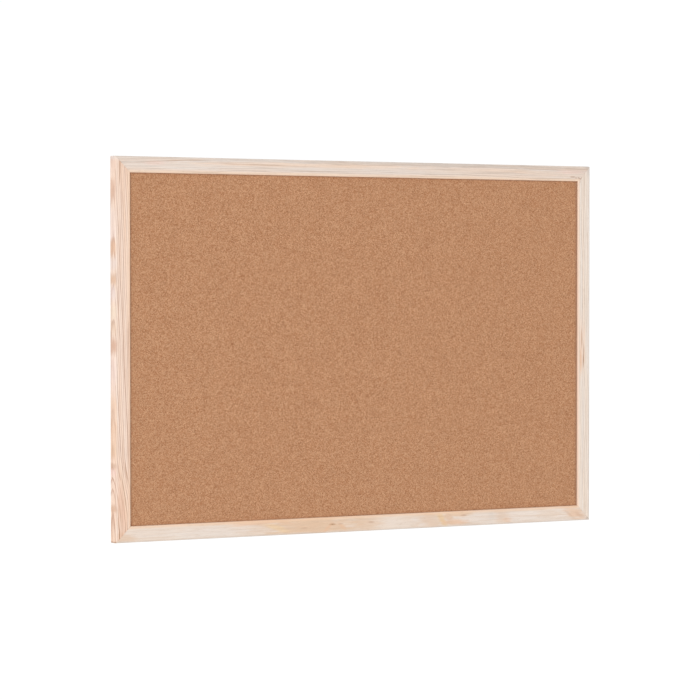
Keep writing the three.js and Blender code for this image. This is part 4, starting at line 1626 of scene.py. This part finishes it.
def cross_outline(share):
    """The driver's cross, shrunk by a share, with a small round in each inner corner."""
    wide = CROSS_HALF_WIDTH
    arm = [(CROSS_REACH, -wide), (CROSS_REACH, wide), (wide * 1.5, wide), (wide * 1.15, wide * 1.15),
           (wide, wide * 1.5)]
    points = []
    for turn in range(4):
        spin = Matrix.Rotation(turn * quarter, 2)
        points.extend(spin @ Vector(point) * share for point in arm)
    return points


def thread_ring(axis, seat_level, depth):
    """The shank's outline at a depth under the head, with its ridge part of the way round."""
    taper = min(1.0, POINT_SHARE + (SCREW_LENGTH - depth) / SCREW_POINT)
    ring = []
    for side in range(SCREW_SIDES):
        turn = side / SCREW_SIDES
        crest = abs(2 * ((depth / THREAD_PITCH + turn) % 1) - 1) ** 2
        radius = (SCREW_RADIUS - THREAD_DEPTH * (1 - crest)) * taper
        angle = 2 * math.pi * turn
        x = axis.x + math.cos(angle) * radius
        z = axis.z + math.sin(angle) * radius
        ring.append(Vector((x, seat_level - depth, z)))
    return ring


def screw_mesh(hand):
    axis = screw_seat[hand]
    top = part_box("hanger_screw_" + hand)[1].y
    seat_level = top - HEAD_RIM - HEAD_CROWN
    count = round((SCREW_LENGTH - HEAD_EDGE) / THREAD_STEP) + 1
    rings = [thread_ring(axis, seat_level, SCREW_LENGTH - step * THREAD_STEP) for step in range(count)]
    profile = [(SCREW_RADIUS, 0), (HEAD_RADIUS - HEAD_EDGE, 0), (HEAD_RADIUS, HEAD_EDGE)]
    for step in range(CROWN_STEPS):
        angle = quarter * step / CROWN_STEPS
        profile.append((HEAD_RADIUS * math.cos(angle), HEAD_RIM + HEAD_CROWN * math.sin(angle)))
    profile.append((HEAD_RADIUS * CROWN_CENTRE_SHARE, HEAD_RIM + HEAD_CROWN))
    levels = [(radius, seat_level + rise) for radius, rise in profile]
    rings.extend(turned_rings(axis, levels, SCREW_SIDES))
    cross = [
        [Vector((axis.x + point.x, level, axis.z + point.y)) for point in cross_outline(share)]
        for level, share in ((top - CROSS_DEPTH, CROSS_FLOOR_SHARE), (top, 1), (top + MM, 1))
    ]
    return cut(skin_mesh("pan_screw", rings, mark=SCREW_WEAR), [skin_mesh("cross", cross)])


for hand in HANDS:
    stand_in("pan_screw_" + hand, screw_mesh(hand), zinc, "zinc_plate", "hanger_screw_" + hand)

# %% [markdown]
# ## Put everything on its body
#
# Each piece stands for its CAD node, which is hidden, and moves with a body. At the end the box of
# all that shows is written beside the CAD model's, to see that the dressing hasn't grown the board.

# %% Bodies and stand-ins
for piece, (body, slot, nodes) in PIECES.items():
    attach(piece, body)
    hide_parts(*nodes)
print(len(PIECES), "pieces ride on their bodies")

# %% Compare the boxes and finish
visual_box = [list(corner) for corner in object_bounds()]
for label, box in (("CAD", cad_box), ("visual", visual_box)):
    print(label, [[round(value, 5) for value in corner] for corner in box])
